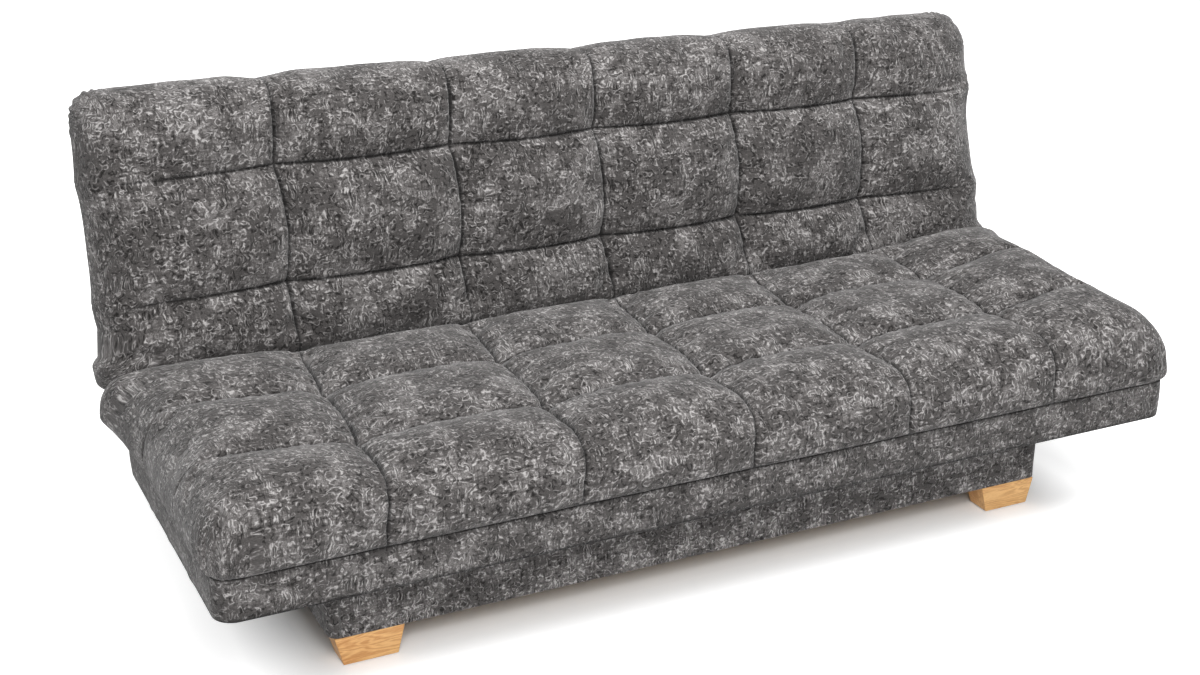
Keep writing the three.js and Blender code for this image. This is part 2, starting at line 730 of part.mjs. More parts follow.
function plinth() {
  const group = new THREE.Group();
  const innerCorner = plinthCorner - plinthSkin - gap;
  const cover = [plinthFront, plinthRear, plinthCorner, plinthSkin, footHeight + gap, plinthTop];
  addPart(group, "plinth_cover", band(plinthHalf, ...cover), bandFabric);

  const holes = [];
  for (const sideX of [-1, 1]) {
    for (const sideY of [-1, 1]) {
      holes.push(uprightRod(boltRadius + boltClearance, ...blockPlace(sideX, sideY), 0, plinthTop));
    }
  }
  const floor = [boardOuter, frontBoardFace, rearBoardFace, innerCorner, footHeight + gap, floorTop];
  addPart(group, "plinth_floor", cut(roundedSlab(...floor), ...holes), hardboard);

  const frontInner = frontBoardFace + boardThickness;
  const rearInner = rearBoardFace - boardThickness;
  const front = longRail(boardOuter, frontInner, frontBoardFace, innerCorner, boardBottom, plinthTop);
  const rear = longRail(boardOuter, rearInner, rearBoardFace, innerCorner, boardBottom, plinthTop);
  addPart(group, "plinth_front_board", front, boardWood);
  addPart(group, "plinth_rear_board", rear, boardWood);
  for (const side of [-1, 1]) {
    const span = [side * boardOuter, side * boardInner].sort((a, b) => a - b);
    const low = [span[0], frontInner + gap, boardBottom];
    const board = boxBetween(low, [span[1], rearInner - gap, plinthTop]);
    addPart(group, side > 0 ? "plinth_right_board" : "plinth_left_board", board, boardWood);
  }

  for (const sideX of [-1, 1]) {
    for (const sideY of [-1, 1]) {
      const corner = `${sideY < 0 ? "front" : "rear"}_${sideX < 0 ? "left" : "right"}`;
      addPart(group, `foot_${corner}`, footGeometry(sideX, sideY), footWood);
      addPart(group, `glide_${corner}`, glideGeometry(sideX, sideY), feltMaterial);
      addPart(group, `corner_block_${corner}`, cornerBlockGeometry(sideX, sideY), railWood);
      addPart(group, `foot_bolt_${corner}`, boltGeometry(sideX, sideY), pinSteel);
    }
  }
  return group;
}

// What stands on the plinth at each end: bracket, pins, pawl and spring, placed from the hinge axis
function hingeBase() {
  const group = new THREE.Group();
  for (const side of [-1, 1]) {
    const sideName = side > 0 ? "right" : "left";
    const outerFace = bracketStation + plateThickness + gap;
    const innerFace = seatArmStation - gap;
    const pin = [
      [innerFace - pinHeadThickness, 0],
      [innerFace - pinHeadThickness, pinHeadRadius],
      [innerFace, pinHeadRadius],
      [innerFace, pinRadius],
      [outerFace, pinRadius],
      [outerFace, pinHeadRadius],
      [outerFace + pinHeadThickness, pinHeadRadius],
      [outerFace + pinHeadThickness, 0],
    ];
    const pawlPin = [
      [pawlStation, 0],
      [pawlStation, pawlPinRadius],
      [outerFace, pawlPinRadius],
      [outerFace, pawlBossRadius],
      [outerFace + plateThickness / 2, pawlBossRadius],
      [outerFace + plateThickness / 2, 0],
    ];
    addPart(group, `hinge_bracket_${sideName}`, bracketGeometry(side), plateSteel);
    addPart(group, `pivot_pin_${sideName}`, turnedPin(pin, 0, 0, side), pinSteel);
    addPart(group, `pawl_pin_${sideName}`, turnedPin(pawlPin, 0, -pawlPinDrop, side), pinSteel);
    const pawl = standingPlate(pawlShape(), pawlStation, plateThickness, side);
    addPart(group, `pawl_${sideName}`, pawl, pinSteel);
    addPart(group, `pawl_spring_${sideName}`, springGeometry(side), pinSteel);
  }
  return group;
}

const seat = wing({
  name: "seat",
  reach: seatReach,
  seamShares: seatSeamShares,
  rows: seatRowReaches,
  cushionFabric: seatFabric,
  coverName: "seat_dust_cover",
  outerRail: "front",
  armStation: seatArmStation,
  flipped: true,
});
seat.position.set(0, hingeY, hingeHeight);
seat.rotation.z = Math.PI;

const back = wing({
  name: "back",
  reach: backReach,
  seamShares: backSeamShares,
  rows: backRowReaches,
  cushionFabric: backFabric,
  coverName: "back_rear_cover",
  outerRail: "top",
  armStation: backArmStation,
  flipped: false,
});
back.position.set(0, hingeY, hingeHeight);
back.rotation.x = uprightAngle;

const hinges = hingeBase();
hinges.position.set(0, hingeY, hingeHeight);

const sofaBed = new THREE.Group();
sofaBed.add(plinth(), hinges, seat, back);

export default sofaBed;
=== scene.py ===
"""A click clack sofa bed: fabric, padding, wood and light, built round its fixed frame.

Everything is in metres, +Z is up, +X runs along the sofa and its front faces -Y.
"""

from __future__ import annotations

import json
import logging
import math
from dataclasses import dataclass, replace
from enum import Enum
from itertools import product
from typing import Iterable, Sequence

import bpy
import numpy as np
from mathutils import Euler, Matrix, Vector


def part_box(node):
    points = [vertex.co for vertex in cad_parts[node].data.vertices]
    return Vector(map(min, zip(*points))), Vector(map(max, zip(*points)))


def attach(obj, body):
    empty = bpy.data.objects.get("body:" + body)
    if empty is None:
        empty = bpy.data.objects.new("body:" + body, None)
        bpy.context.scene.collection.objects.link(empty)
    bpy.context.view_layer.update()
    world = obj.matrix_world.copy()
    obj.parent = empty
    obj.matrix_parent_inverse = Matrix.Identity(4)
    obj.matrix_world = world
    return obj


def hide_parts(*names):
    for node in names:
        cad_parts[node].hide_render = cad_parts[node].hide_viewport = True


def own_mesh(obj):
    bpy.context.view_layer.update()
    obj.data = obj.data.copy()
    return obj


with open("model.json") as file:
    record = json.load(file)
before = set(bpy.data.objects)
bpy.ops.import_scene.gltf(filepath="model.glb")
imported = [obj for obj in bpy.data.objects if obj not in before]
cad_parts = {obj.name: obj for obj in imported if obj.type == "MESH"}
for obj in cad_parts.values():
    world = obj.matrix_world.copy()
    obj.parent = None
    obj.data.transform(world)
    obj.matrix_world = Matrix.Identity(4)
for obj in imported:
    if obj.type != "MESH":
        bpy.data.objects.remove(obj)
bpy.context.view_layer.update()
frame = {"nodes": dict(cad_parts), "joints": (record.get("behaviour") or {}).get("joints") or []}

log = logging.getLogger("sofa_bed")

MILLIMETRE = 0.001
SEED = 20
TINY = 1e-12
SAME_PLACE = 1e-6
WHITE = (1.0, 1.0, 1.0, 1.0)
CLOTH_ATTRIBUTE = "cloth"
# the point attribute that holds painted shade: dark in the seams' grooves and in the creases
SEAM_SHADE_ATTRIBUTE = "seam"


class Body(Enum):
    """The parts of the frame that pieces ride on."""

    BASE = "base"
    SEAT = "seat"
    BACK = "back"


class Grain(Enum):
    """The way that the wood's fibres run."""

    ALONG_X = (1.0, 7.0, 7.0)
    ALONG_Y = (7.0, 1.0, 7.0)
    ALONG_Z = (7.0, 7.0, 1.0)


class Mixed(Enum):
    """What a Mix node mixes: its data type, its first input's number and its output's."""

    COLOURS = ("RGBA", 6, 2)
    VALUES = ("FLOAT", 2, 0)


# Node graphs
class Graph:
    """A short way to write shader nodes and their links."""

    def __init__(self, tree: bpy.types.NodeTree) -> None:
        """Starts on a node tree.

        Args:
            tree: the tree of a material, a world or a group.
        """
        self.tree = tree

    def node(self, kind: str, **settings: object) -> bpy.types.Node:
        """Adds a node.

        Args:
            kind: the node's Blender name, without the leading ShaderNode.
            settings: properties to set on it.

        Returns:
            The new node.
        """
        made = self.tree.nodes.new(f"ShaderNode{kind}")
        for name, value in settings.items():
            setattr(made, name, value)
        return made

    def feed(self, socket: bpy.types.NodeSocket, value: object) -> None:
        """Links a socket into another, or sets its value.

        Args:
            socket: the input to fill.
            value: an output socket, or a plain value.
        """
        if isinstance(value, bpy.types.NodeSocket):
            self.tree.links.new(value, socket)
        else:
            socket.default_value = value

    def maths(self, operation: str, *values: object, clamp: bool = False) -> bpy.types.NodeSocket:
        """Adds a Math node.

        Args:
            operation: what it does.
            values: what it does it to.
            clamp: whether the result is kept from 0 to 1.

        Returns:
            Its output.
        """
        made = self.node("Math", operation=operation, use_clamp=clamp)
        for socket, value in zip(made.inputs, values):
            self.feed(socket, value)
        return made.outputs[0]

    def vector(self, operation: str, *values: object) -> bpy.types.NodeSocket:
        """Adds a Vector Math node.

        Args:
            operation: what it does.
            values: what it does it to.

        Returns:
            Its vector.
        """
        made = self.node("VectorMath", operation=operation)
        for socket, value in zip(made.inputs, values):
            self.feed(socket, value)
        return made.outputs[0]

    def in_lumps(self, place: object, size: object) -> bpy.types.NodeSocket:
        """Measures a place in lumps of one size.

        Args:
            place: the place, in metres.
            size: the size of a lump, in metres.

        Returns:
            The place divided by the size.
        """
        made = self.node("VectorMath", operation="SCALE")
        self.feed(made.inputs[0], place)
        self.feed(made.inputs["Scale"], self.maths("DIVIDE", 1.0, size))
        return made.outputs[0]

    def noise(self, place: object, scale: float, detail: float = 3.0, rough: float = 0.55,
              swirl: float = 0.0, output: str = "Fac") -> bpy.types.NodeSocket:
        """Adds a Noise Texture.

        Args:
            place: the vector that it reads.
            scale: how many of its lumps lie in a unit of that vector.
            detail: how many finer layers it has.
            rough: how strong the finer layers are.
            swirl: how far it is distorted.
            output: the name of the output that is wanted.

        Returns:
            The output socket.
        """
        made = self.node("TexNoise")
        given = {"Vector": place, "Scale": scale, "Detail": detail, "Roughness": rough, "Distortion": swirl}
        for name, value in given.items():
            self.feed(made.inputs[name], value)
        return made.outputs[output]

    def remap(self, value: object, low: float, high: float, to_low: float = 0.0,
              to_high: float = 1.0) -> bpy.types.NodeSocket:
        """Stretches a range of values to another and clamps it.

        Args:
            value: the value to stretch.
            low: the start of its range.
            high: the end of its range.
            to_low: what the start becomes.
            to_high: what the end becomes.

        Returns:
            The stretched value.
        """
        made = self.node("MapRange", clamp=True)
        given = {"Value": value, "From Min": low, "From Max": high, "To Min": to_low, "To Max": to_high}
        for name, number in given.items():
            self.feed(made.inputs[name], number)
        return made.outputs["Result"]

    def mix(self, share: object, first: object, second: object,
            kind: Mixed = Mixed.COLOURS) -> bpy.types.NodeSocket:
        """Mixes two colours, or two values, by a share.

        Args:
            share: 0 for the first, 1 for the second.
            first: the first colour or value.
            second: the second one.
            kind: what is mixed.

        Returns:
            The mixed colour or value.
        """
        data_type, first_input, output = kind.value
        made = self.node("Mix", data_type=data_type)
        for socket, value in (("Factor", share), (first_input, first), (first_input + 1, second)):
            self.feed(made.inputs[socket], value)
        return made.outputs[output]

    def blend(self, share: object, first: object, second: object) -> bpy.types.NodeSocket:
        """Mixes two values by a share."""
        return self.mix(share, first, second, Mixed.VALUES)


@dataclass(frozen=True)
class Socket:
    """One named socket of a node group."""

    name: str
    kind: str
    value: object = None
    output: bool = False


class EffectGroup:
    """A shader node group that more than one finish places with its own values."""

    name = "effect"
    sockets: tuple[Socket, ...] = ()

    def tree(self) -> bpy.types.NodeTree:
        """Builds the group's tree the first time that it is wanted.

        Returns:
            The tree.
        """
        found = bpy.data.node_groups.get(self.name)
        if found is not None:
            return found
        made = bpy.data.node_groups.new(self.name, "ShaderNodeTree")
        for item in self.sockets:
            way = "OUTPUT" if item.output else "INPUT"
            socket = made.interface.new_socket(item.name, in_out=way, socket_type=f"NodeSocket{item.kind}")
            if item.value is not None:
                socket.default_value = item.value
        graph = Graph(made)
        inside = made.nodes.new("NodeGroupInput")
        outside = made.nodes.new("NodeGroupOutput")
        self.draw(graph, inside.outputs, outside.inputs)
        return made

    def draw(self, graph: Graph, given: object, wanted: object) -> None:
        """Draws the effect between the group's inputs and outputs."""
        raise NotImplementedError

    def place(self, graph: Graph, **values: object) -> bpy.types.Node:
        """Places the group in a material.

        Args:
            graph: the material's graph.
            values: what each input gets, by its name with _ for a space.

        Returns:
            The group node.
        """
        made = graph.node("Group", node_tree=self.tree())
        for name, value in values.items():
            graph.feed(made.inputs[name.replace("_", " ")], value)
        return made


class ChenilleEffect(EffectGroup):
    """Brushed chenille: blotches where the pile lies over, curled fibres and short bundles of yarn."""

    name = "chenille"
    sockets = (
        Socket("Cloth", "Vector"),
        Socket("Blotch Size", "Float", 0.06),
        Socket("Fibre Size", "Float", 0.011),
        Socket("Dark", "Color"),
        Socket("Mid", "Color"),
        Socket("Light", "Color"),
        Socket("Color", "Color", output=True),
        Socket("Height", "Float", output=True),
        Socket("Roughness", "Float", output=True),
    )
    drift = (1.3, 1.3, 0.0)
    bar_shape = (0.42, 2.3, 1.0)
    post_shape = (2.6, 0.36, 1.0)
    yarn_shape = (4.8, 0.60, 1.0)
    curls = 25.0
    base_tone = 0.28
    patch_tone = 0.28
    light_tone = 0.40
    dark_tone = -0.30
    grit_tone = 0.55

    def draw(self, graph: Graph, given: object, wanted: object) -> None:
        """Draws the pile's tones and its height.

        Args:
            graph: the group's graph.
            given: the group's inputs.
            wanted: the sockets of its outputs.
        """
        wide = graph.in_lumps(given["Cloth"], given["Blotch Size"])
        fine = graph.in_lumps(given["Cloth"], given["Fibre Size"])
        drifted = graph.noise(fine, 0.55, 2.0, 0.5, output="Color")
        bent = graph.vector("MULTIPLY_ADD", drifted, self.drift, fine)

        # the pile lies over in patches, which the weave breaks into short bars
        patches = graph.noise(wide, 1.0, 5.0, 0.62)
        bars, posts = (graph.noise(graph.vector("MULTIPLY", fine, shape), 1.0, 2.0, 0.6)
                       for shape in (self.bar_shape, self.post_shape))
        broken = graph.maths("MULTIPLY_ADD", graph.maths("ADD", bars, posts), 0.40, patches)
        patch = graph.remap(broken, 0.865, 0.955)

        # fibres curl along the contours of a bent noise and break off
        contours = graph.noise(bent, 0.80, 1.5, 0.5)
        wave = graph.maths("SINE", graph.maths("MULTIPLY", contours, self.curls))
        broken_off = graph.remap(graph.noise(fine, 1.2, 2.0, 0.6), 0.42, 0.54)
        light_curls, dark_curls = (graph.maths("MULTIPLY", graph.remap(wave, low, high), broken_off)
                                   for low, high in ((0.5, 0.95), (-0.4, -0.95)))

        # short bundles of yarn stand up and down in clusters
        yarn = graph.noise(graph.vector("MULTIPLY", bent, self.yarn_shape), 1.0, 1.0, 0.5)
        clusters = graph.remap(graph.noise(fine, 0.40, 3.0, 0.6), 0.56, 0.62)
        grit = graph.noise(fine, 5.0, 2.0, 0.7)

        light_fibres = graph.blend(clusters, light_curls, graph.remap(yarn, 0.54, 0.62))
        dark_fibres = graph.blend(clusters, dark_curls, graph.remap(yarn, 0.46, 0.38))
        tone = self.base_tone
        parts = (patch, light_fibres, dark_fibres, graph.maths("SUBTRACT", grit, 0.5))
        shares = (self.patch_tone, self.light_tone, self.dark_tone, self.grit_tone)
        for part, share in zip(parts, shares):
            tone = graph.maths("MULTIPLY_ADD", part, share, tone)
        lower = graph.mix(graph.remap(tone, 0.0, 0.5), given["Dark"], given["Mid"])
        graph.feed(wanted["Color"], graph.mix(graph.remap(tone, 0.5, 1.0), lower, given["Light"]))
        height = graph.maths("SUBTRACT", light_fibres, dark_fibres)
        graph.feed(wanted["Height"], graph.maths("MULTIPLY_ADD", grit, 0.5, height))
        graph.feed(wanted["Roughness"], graph.remap(light_fibres, 0.0, 1.0, 0.96, 0.78))


class GrainEffect(EffectGroup):
    """Wood: rings drawn out into grain, pores and a knot here and there."""

    name = "grain"
    sockets = (
        Socket("Place", "Vector"),
        Socket("Stretch", "Vector", (1.0, 7.0, 7.0)),
        Socket("Dark", "Color"),
        Socket("Light", "Color"),
        Socket("Knots", "Float", 0.5),
        Socket("Color", "Color", output=True),
        Socket("Height", "Float", output=True),
        Socket("Roughness", "Float", output=True),
    )
    bend = (0.18, 0.18, 0.18)
    rings = 70.0
    ring_tone = 0.42
    pore_tone = 0.22
    broad_tone = 0.4
    knot_tone = 0.7
    knots_apart = 17.0

    def draw(self, graph: Graph, given: object, wanted: object) -> None:
        """Draws the grain's tone and its height.

        Args:
            graph: the group's graph.
            given: the group's inputs.
            wanted: the sockets of its outputs.
        """
        drawn = graph.vector("MULTIPLY", given["Place"], given["Stretch"])
        drifted = graph.noise(drawn, 3.0, 3.0, 0.5, output="Color")
        bent = graph.vector("MULTIPLY_ADD", drifted, self.bend, drawn)
        growth = graph.noise(bent, 6.0, 2.0, 0.45, 0.6)
        lines = graph.remap(graph.maths("SINE", graph.maths("MULTIPLY", growth, self.rings)), -0.7, 1.0)
        pores = graph.remap(graph.noise(drawn, 120.0, 2.0, 0.6), 0.35, 0.7)
        broad = graph.remap(graph.noise(drawn, 2.2, 2.0), 0.3, 0.7)
        cells = graph.node("TexVoronoi", feature="F1")
        graph.feed(cells.inputs["Vector"], given["Place"])
        cells.inputs["Scale"].default_value = self.knots_apart
        from_knot = graph.remap(cells.outputs["Distance"], 0.05, 0.16, 1.0, 0.0)
        knot = graph.maths("MULTIPLY", from_knot, given["Knots"])
        tone = graph.maths("MULTIPLY", lines, self.ring_tone)
        tone = graph.maths("MULTIPLY_ADD", pores, self.pore_tone, tone)
        tone = graph.maths("MULTIPLY_ADD", broad, self.broad_tone, tone)
        tone = graph.maths("SUBTRACT", tone, graph.maths("MULTIPLY", knot, self.knot_tone), clamp=True)
        graph.feed(wanted["Color"], graph.mix(tone, given["Dark"], given["Light"]))
        graph.feed(wanted["Height"], graph.maths("MULTIPLY_ADD", pores, 0.6, lines))
        graph.feed(wanted["Roughness"], graph.remap(pores, 0.0, 1.0, 0.55, 0.42))


class ScuffEffect(EffectGroup):
    """Scuffs and dust that gather on metal, board and cloth that is out of sight."""

    name = "scuff"
    sockets = (
        Socket("Place", "Vector"),
        Socket("Size", "Float", 0.02),
        Socket("Base", "Color"),
        Socket("Worn", "Color"),
        Socket("Color", "Color", output=True),
        Socket("Height", "Float", output=True),
        Socket("Mask", "Float", output=True),
    )
    streak_shape = (1.0, 9.0, 3.0)
    mask_tone = 0.8
    grit_tone = 0.35

    def draw(self, graph: Graph, given: object, wanted: object) -> None:
        """Draws the patches, their tone and their height.

        Args:
            graph: the group's graph.
            given: the group's inputs.
            wanted: the sockets of its outputs.
        """
        lumps = graph.in_lumps(given["Place"], given["Size"])
        patches = graph.noise(lumps, 1.0, 5.0, 0.65, 0.4)
        streaks = graph.noise(graph.vector("MULTIPLY", lumps, self.streak_shape), 2.0, 3.0)
        grit = graph.noise(lumps, 14.0, 2.0, 0.7)
        mask = graph.maths("MULTIPLY", graph.remap(patches, 0.45, 0.7), graph.remap(streaks, 0.35, 0.7))
        tone = graph.maths("MULTIPLY", mask, self.mask_tone)
        tone = graph.maths("MULTIPLY_ADD", graph.remap(grit, 0.3, 0.7), self.grit_tone, tone)
        graph.feed(wanted["Color"], graph.mix(tone, given["Base"], given["Worn"]))
        graph.feed(wanted["Height"], graph.maths("MULTIPLY_ADD", patches, 0.5, grit))
        graph.feed(wanted["Mask"], mask)


CHENILLE = ChenilleEffect()
GRAIN = GrainEffect()
SCUFF = ScuffEffect()


# Finishes
def fresh_graph(block: bpy.types.Material | bpy.types.World) -> Graph:
    """Empties the node tree of a new material or world.

    Args:
        block: the material or world.

    Returns:
        A graph on its tree.
    """
    block.use_nodes = True
    block.node_tree.nodes.clear()
    return Graph(block.node_tree)


def principled(made: bpy.types.Material) -> tuple[Graph, bpy.types.Node]:
    """Gives a new material its Principled shader.

    Args:
        made: the new material.

    Returns:
        The material's graph and the shader, which already feeds the surface.
    """
    graph = fresh_graph(made)
    shader = graph.node("BsdfPrincipled")
    graph.feed(graph.node("OutputMaterial").inputs["Surface"], shader.outputs["BSDF"])
    return graph, shader


def linear(red: int, green: int, blue: int) -> tuple[float, float, float, float]:
    """Turns a screen's colour into the linear colour that a shader takes.

    Args:
        red: its red, from 0 to 255.
        green: its green, from 0 to 255.
        blue: its blue, from 0 to 255.

    Returns:
        The linear red, green and blue, with an alpha of 1.
    """
    shares = [value / 255 for value in (red, green, blue)]
    parts = [s / 12.92 if s <= 0.04045 else ((s + 0.055) / 1.055) ** 2.4 for s in shares]
    return (*parts, 1.0)


@dataclass(frozen=True)
class Finish:
    """What every finish has: a name and the name of the record's slot that it stands for, which nothing here
    reads.
    """

    name: str
    slot: str

    def material(self) -> bpy.types.Material:
        """Builds the finish the first time that it is wanted.

        Returns:
            Its material.
        """
        found = bpy.data.materials.get(self.name)
        if found is not None:
            return found
        made = bpy.data.materials.new(self.name)
        self.dress(*principled(made))
        return made

    def dress(self, graph: Graph, shader: bpy.types.Node) -> None:
        """Feeds the Principled shader."""
        raise NotImplementedError

    def bump(self, graph: Graph, shader: bpy.types.Node, height: object, depth: float,
             strength: float) -> None:
        """Feeds the shader's normal from a height.

        Args:
            graph: the material's graph.
            shader: its Principled shader.
            height: the height, from 0 to 1.
            depth: how deep a height of 1 is, in metres.
            strength: how much of it shows.
        """
        bump = graph.node("Bump")
        bump.inputs["Strength"].default_value = strength
        bump.inputs["Distance"].default_value = depth
        graph.feed(bump.inputs["Height"], height)
        graph.feed(shader.inputs["Normal"], bump.outputs["Normal"])


@dataclass(frozen=True)
class ChenilleFinish(Finish):
    """The sofa's brushed chenille."""

    dark: tuple[float, ...] = linear(30, 28, 27)
    mid: tuple[float, ...] = linear(90, 87, 86)
    light: tuple[float, ...] = linear(172, 169, 168)
    # the colour of the painted shade in the seams' grooves and the creases
    seam_shade_tone: tuple[float, ...] = linear(20, 19, 19)
    blotch: float = 0.062
    fibre: float = 0.011
    shift: tuple[float, float, float] = (0.0, 0.0, 0.0)
    nap: float = 0.0011

    def dress(self, graph: Graph, shader: bpy.types.Node) -> None:
        """Lays the pile's tones, paints shade into the seams and creases and gives the cloth its sheen.

        Args:
            graph: the material's graph.
            shader: its Principled shader.
        """
        cloth = graph.node("Attribute", attribute_name=CLOTH_ATTRIBUTE)
        seam = graph.node("Attribute", attribute_name=SEAM_SHADE_ATTRIBUTE)
        placed = graph.vector("ADD", cloth.outputs["Vector"], self.shift)
        pile = CHENILLE.place(
            graph, Cloth=placed, Blotch_Size=self.blotch, Fibre_Size=self.fibre,
            Dark=self.dark, Mid=self.mid, Light=self.light,
        )
        # painted shade: the pile darkens in the seams' grooves and the creases, as much as the seam attribute
        # says
        colour = graph.mix(seam.outputs["Fac"], pile.outputs["Color"], self.seam_shade_tone)
        graph.feed(shader.inputs["Base Color"], colour)
        graph.feed(shader.inputs["Roughness"], pile.outputs["Roughness"])
        shader.inputs["Specular IOR Level"].default_value = 0.18
        shader.inputs["Sheen Weight"].default_value = 0.22
        shader.inputs["Sheen Roughness"].default_value = 0.45
        self.bump(graph, shader, pile.outputs["Height"], self.nap, 0.75)


@dataclass(frozen=True)
class WoodFinish(Finish):
    """Solid wood or board, with its grain along one direction."""

    dark: tuple[float, ...] = linear(194, 130, 70)
    light: tuple[float, ...] = linear(248, 203, 138)
    grain: Grain = Grain.ALONG_X
    knots: float = 0.5
    lacquer: float = 0.25

    def dress(self, graph: Graph, shader: bpy.types.Node) -> None:
        """Lays the grain and a thin coat of lacquer.

        Args:
            graph: the material's graph.
            shader: its Principled shader.
        """
        wood = GRAIN.place(
            graph, Place=graph.node("TexCoord").outputs["Object"], Stretch=self.grain.value, Dark=self.dark,
            Light=self.light, Knots=self.knots,
        )
        graph.feed(shader.inputs["Base Color"], wood.outputs["Color"])
        graph.feed(shader.inputs["Roughness"], wood.outputs["Roughness"])
        shader.inputs["Coat Weight"].default_value = self.lacquer
        shader.inputs["Coat Roughness"].default_value = 0.35
        self.bump(graph, shader, wood.outputs["Height"], 0.0003, 0.4)


@dataclass(frozen=True)
class WornFinish(Finish):
    """Steel, board, lining or felt: one tone with scuffs, dust or threads on it."""

    base: tuple[float, ...] = linear(62, 65, 68)
    worn: tuple[float, ...] = linear(120, 122, 124)
    patch: float = 0.02
    metal: float = 0.0
    smooth: float = 0.45
    matt: float = 0.6
    depth: float = 0.0002
    sheen: float = 0.0

    def dress(self, graph: Graph, shader: bpy.types.Node) -> None:
        """Lays the tone and the scuffs, which are rougher than what they lie on.

        Args:
            graph: the material's graph.
            shader: its Principled shader.
        """
        place = graph.node("TexCoord").outputs["Object"]
        scuff = SCUFF.place(graph, Place=place, Size=self.patch, Base=self.base, Worn=self.worn)
        graph.feed(shader.inputs["Base Color"], scuff.outputs["Color"])
        rough = graph.remap(scuff.outputs["Mask"], 0.0, 1.0, self.smooth, self.matt)
        graph.feed(shader.inputs["Roughness"], rough)
        shader.inputs["Metallic"].default_value = self.metal
        shader.inputs["Sheen Weight"].default_value = self.sheen
        self.bump(graph, shader, scuff.outputs["Height"], self.depth, 0.5)


SEAT_FABRIC = ChenilleFinish("seat chenille", "seat_fabric", fibre=0.0125)
BACK_FABRIC = ChenilleFinish("back chenille", "back_fabric", shift=(3.7, 1.9, 0.4))
BAND_FABRIC = ChenilleFinish("band chenille", "band_fabric", shift=(-2.3, 5.1, 1.3))
# painted light: the band's chenille made lighter for the plinth, to make up for the shade under the seat's
# overhang
PAINTED_LIGHT_PLINTH_FABRIC = replace(
    BAND_FABRIC, name="plinth chenille with painted light", dark=linear(33, 31, 30), mid=linear(97, 94, 93),
    light=linear(185, 182, 181),
)
LINING = WornFinish(
    "lining", "lining_fabric", base=linear(38, 38, 40), worn=linear(60, 60, 62), patch=0.012, smooth=0.9,
    matt=0.95, depth=0.0004, sheen=0.1,
)
FELT = WornFinish(
    "felt", "felt", base=linear(96, 90, 84), worn=linear(136, 130, 122), patch=0.004, smooth=0.95, matt=0.98,
    depth=0.0006, sheen=0.2,
)
FOOT_WOOD = WoodFinish("foot wood", "foot_wood")
RAIL_WOOD = WoodFinish(
    "rail wood", "rail_wood", dark=linear(176, 140, 92), light=linear(222, 192, 146), lacquer=0.0,
    knots=0.6,
)
CROSS_WOOD = replace(RAIL_WOOD, name="cross rail wood", grain=Grain.ALONG_Y)
BLOCK_WOOD = replace(RAIL_WOOD, name="block wood", knots=0.3, grain=Grain.ALONG_Z)
SLAT_WOOD = WoodFinish(
    "slat wood", "slat_wood", dark=linear(196, 164, 116), light=linear(234, 212, 172), lacquer=0.0,
    knots=0.2, grain=Grain.ALONG_Y,
)
BOARD_WOOD = WoodFinish(
    "board wood", "board_wood", dark=linear(160, 128, 86), light=linear(206, 176, 132), lacquer=0.0,
    knots=0.3,
)
HARDBOARD = WornFinish(
    "hardboard", "hardboard", base=linear(122, 88, 58), worn=linear(158, 124, 90), patch=0.01, smooth=0.7,
    matt=0.85,
)
PLATE_STEEL = WornFinish(
    "plate steel", "plate_steel", base=linear(52, 54, 57), worn=linear(120, 122, 124), metal=0.85,
    smooth=0.38, matt=0.6,
)
PIN_STEEL = WornFinish(
    "pin steel", "pin_steel", base=linear(168, 170, 172), worn=linear(120, 118, 112), metal=1.0, smooth=0.25,
    matt=0.5,
)


# Meshes
def grid_faces(rows: int, columns: int) -> np.ndarray:
    """Makes the quads of a grid of points.

    Args:
        rows: how many rows of points there are.
        columns: how many points a row has.

    Returns:
        One row of four point numbers for each quad.
    """
    number = np.arange(rows * columns).reshape(rows, columns)
    here, across = number[:, :-1], number[:, 1:]
    return np.stack([here[:-1], across[:-1], across[1:], here[1:]], axis=-1).reshape(-1, 4)


def in_scene(name: str, data: bpy.types.ID) -> bpy.types.Object:
    """Makes an object of a mesh, a lamp or a camera, and puts it in the scene.

    Args:
        name: the object's name.
        data: what it shows.

    Returns:
        The new object.
    """
    made = bpy.data.objects.new(name, data)
    bpy.context.scene.collection.objects.link(made)
    return made


def mesh_piece(name: str, points: np.ndarray, faces: Iterable[Sequence[int]], finish: Finish,
               turned: bool) -> bpy.types.Object:
    """Makes a smooth mesh object with a finish.

    Args:
        name: the piece's name.
        points: its points, one row each, in metres.
        faces: its faces, as point numbers.
        finish: what it is made of.
        turned: whether its faces have to be turned over.

    Returns:
        The new object.
    """
    mesh = bpy.data.meshes.new(name)
    rows = [list(map(int, face)) for face in faces]
    if turned:
        rows = [row[::-1] for row in rows]
    mesh.from_pydata(points.tolist(), [], rows)
    mesh.shade_smooth()
    mesh.materials.append(finish.material())
    piece = in_scene(name, mesh)
    return piece


def stand_for(piece: bpy.types.Object, node: str, body: Body) -> str:
    """Lets a piece take the place of a CAD node.

    Args:
        piece: the piece.
        node: the node's name.
        body: the body that the piece rides on.

    Returns:
        The piece's name.
    """
    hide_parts(node)
    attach(piece, body.value)
    return piece.name


def lay_cloth(piece: bpy.types.Object, places: np.ndarray, seams: np.ndarray) -> None:
    """Writes where each point lies on the flat cloth, and the painted shade that it gets in a seam or a
    crease.

    Args:
        piece: the mesh object.
        places: along and down the cloth, in metres, one row for each point.
        seams: from 0 to 1 for each point, the painted shade of a seam or a crease, 1 where it is darkest.
    """
    flat = np.zeros((len(places), 3), np.float32)
    flat[:, :2] = places
    cloth = piece.data.attributes.new(CLOTH_ATTRIBUTE, "FLOAT_VECTOR", "POINT")
    cloth.data.foreach_set("vector", flat.ravel())
    near = piece.data.attributes.new(SEAM_SHADE_ATTRIBUTE, "FLOAT", "POINT")
    near.data.foreach_set("value", seams.astype(np.float32))


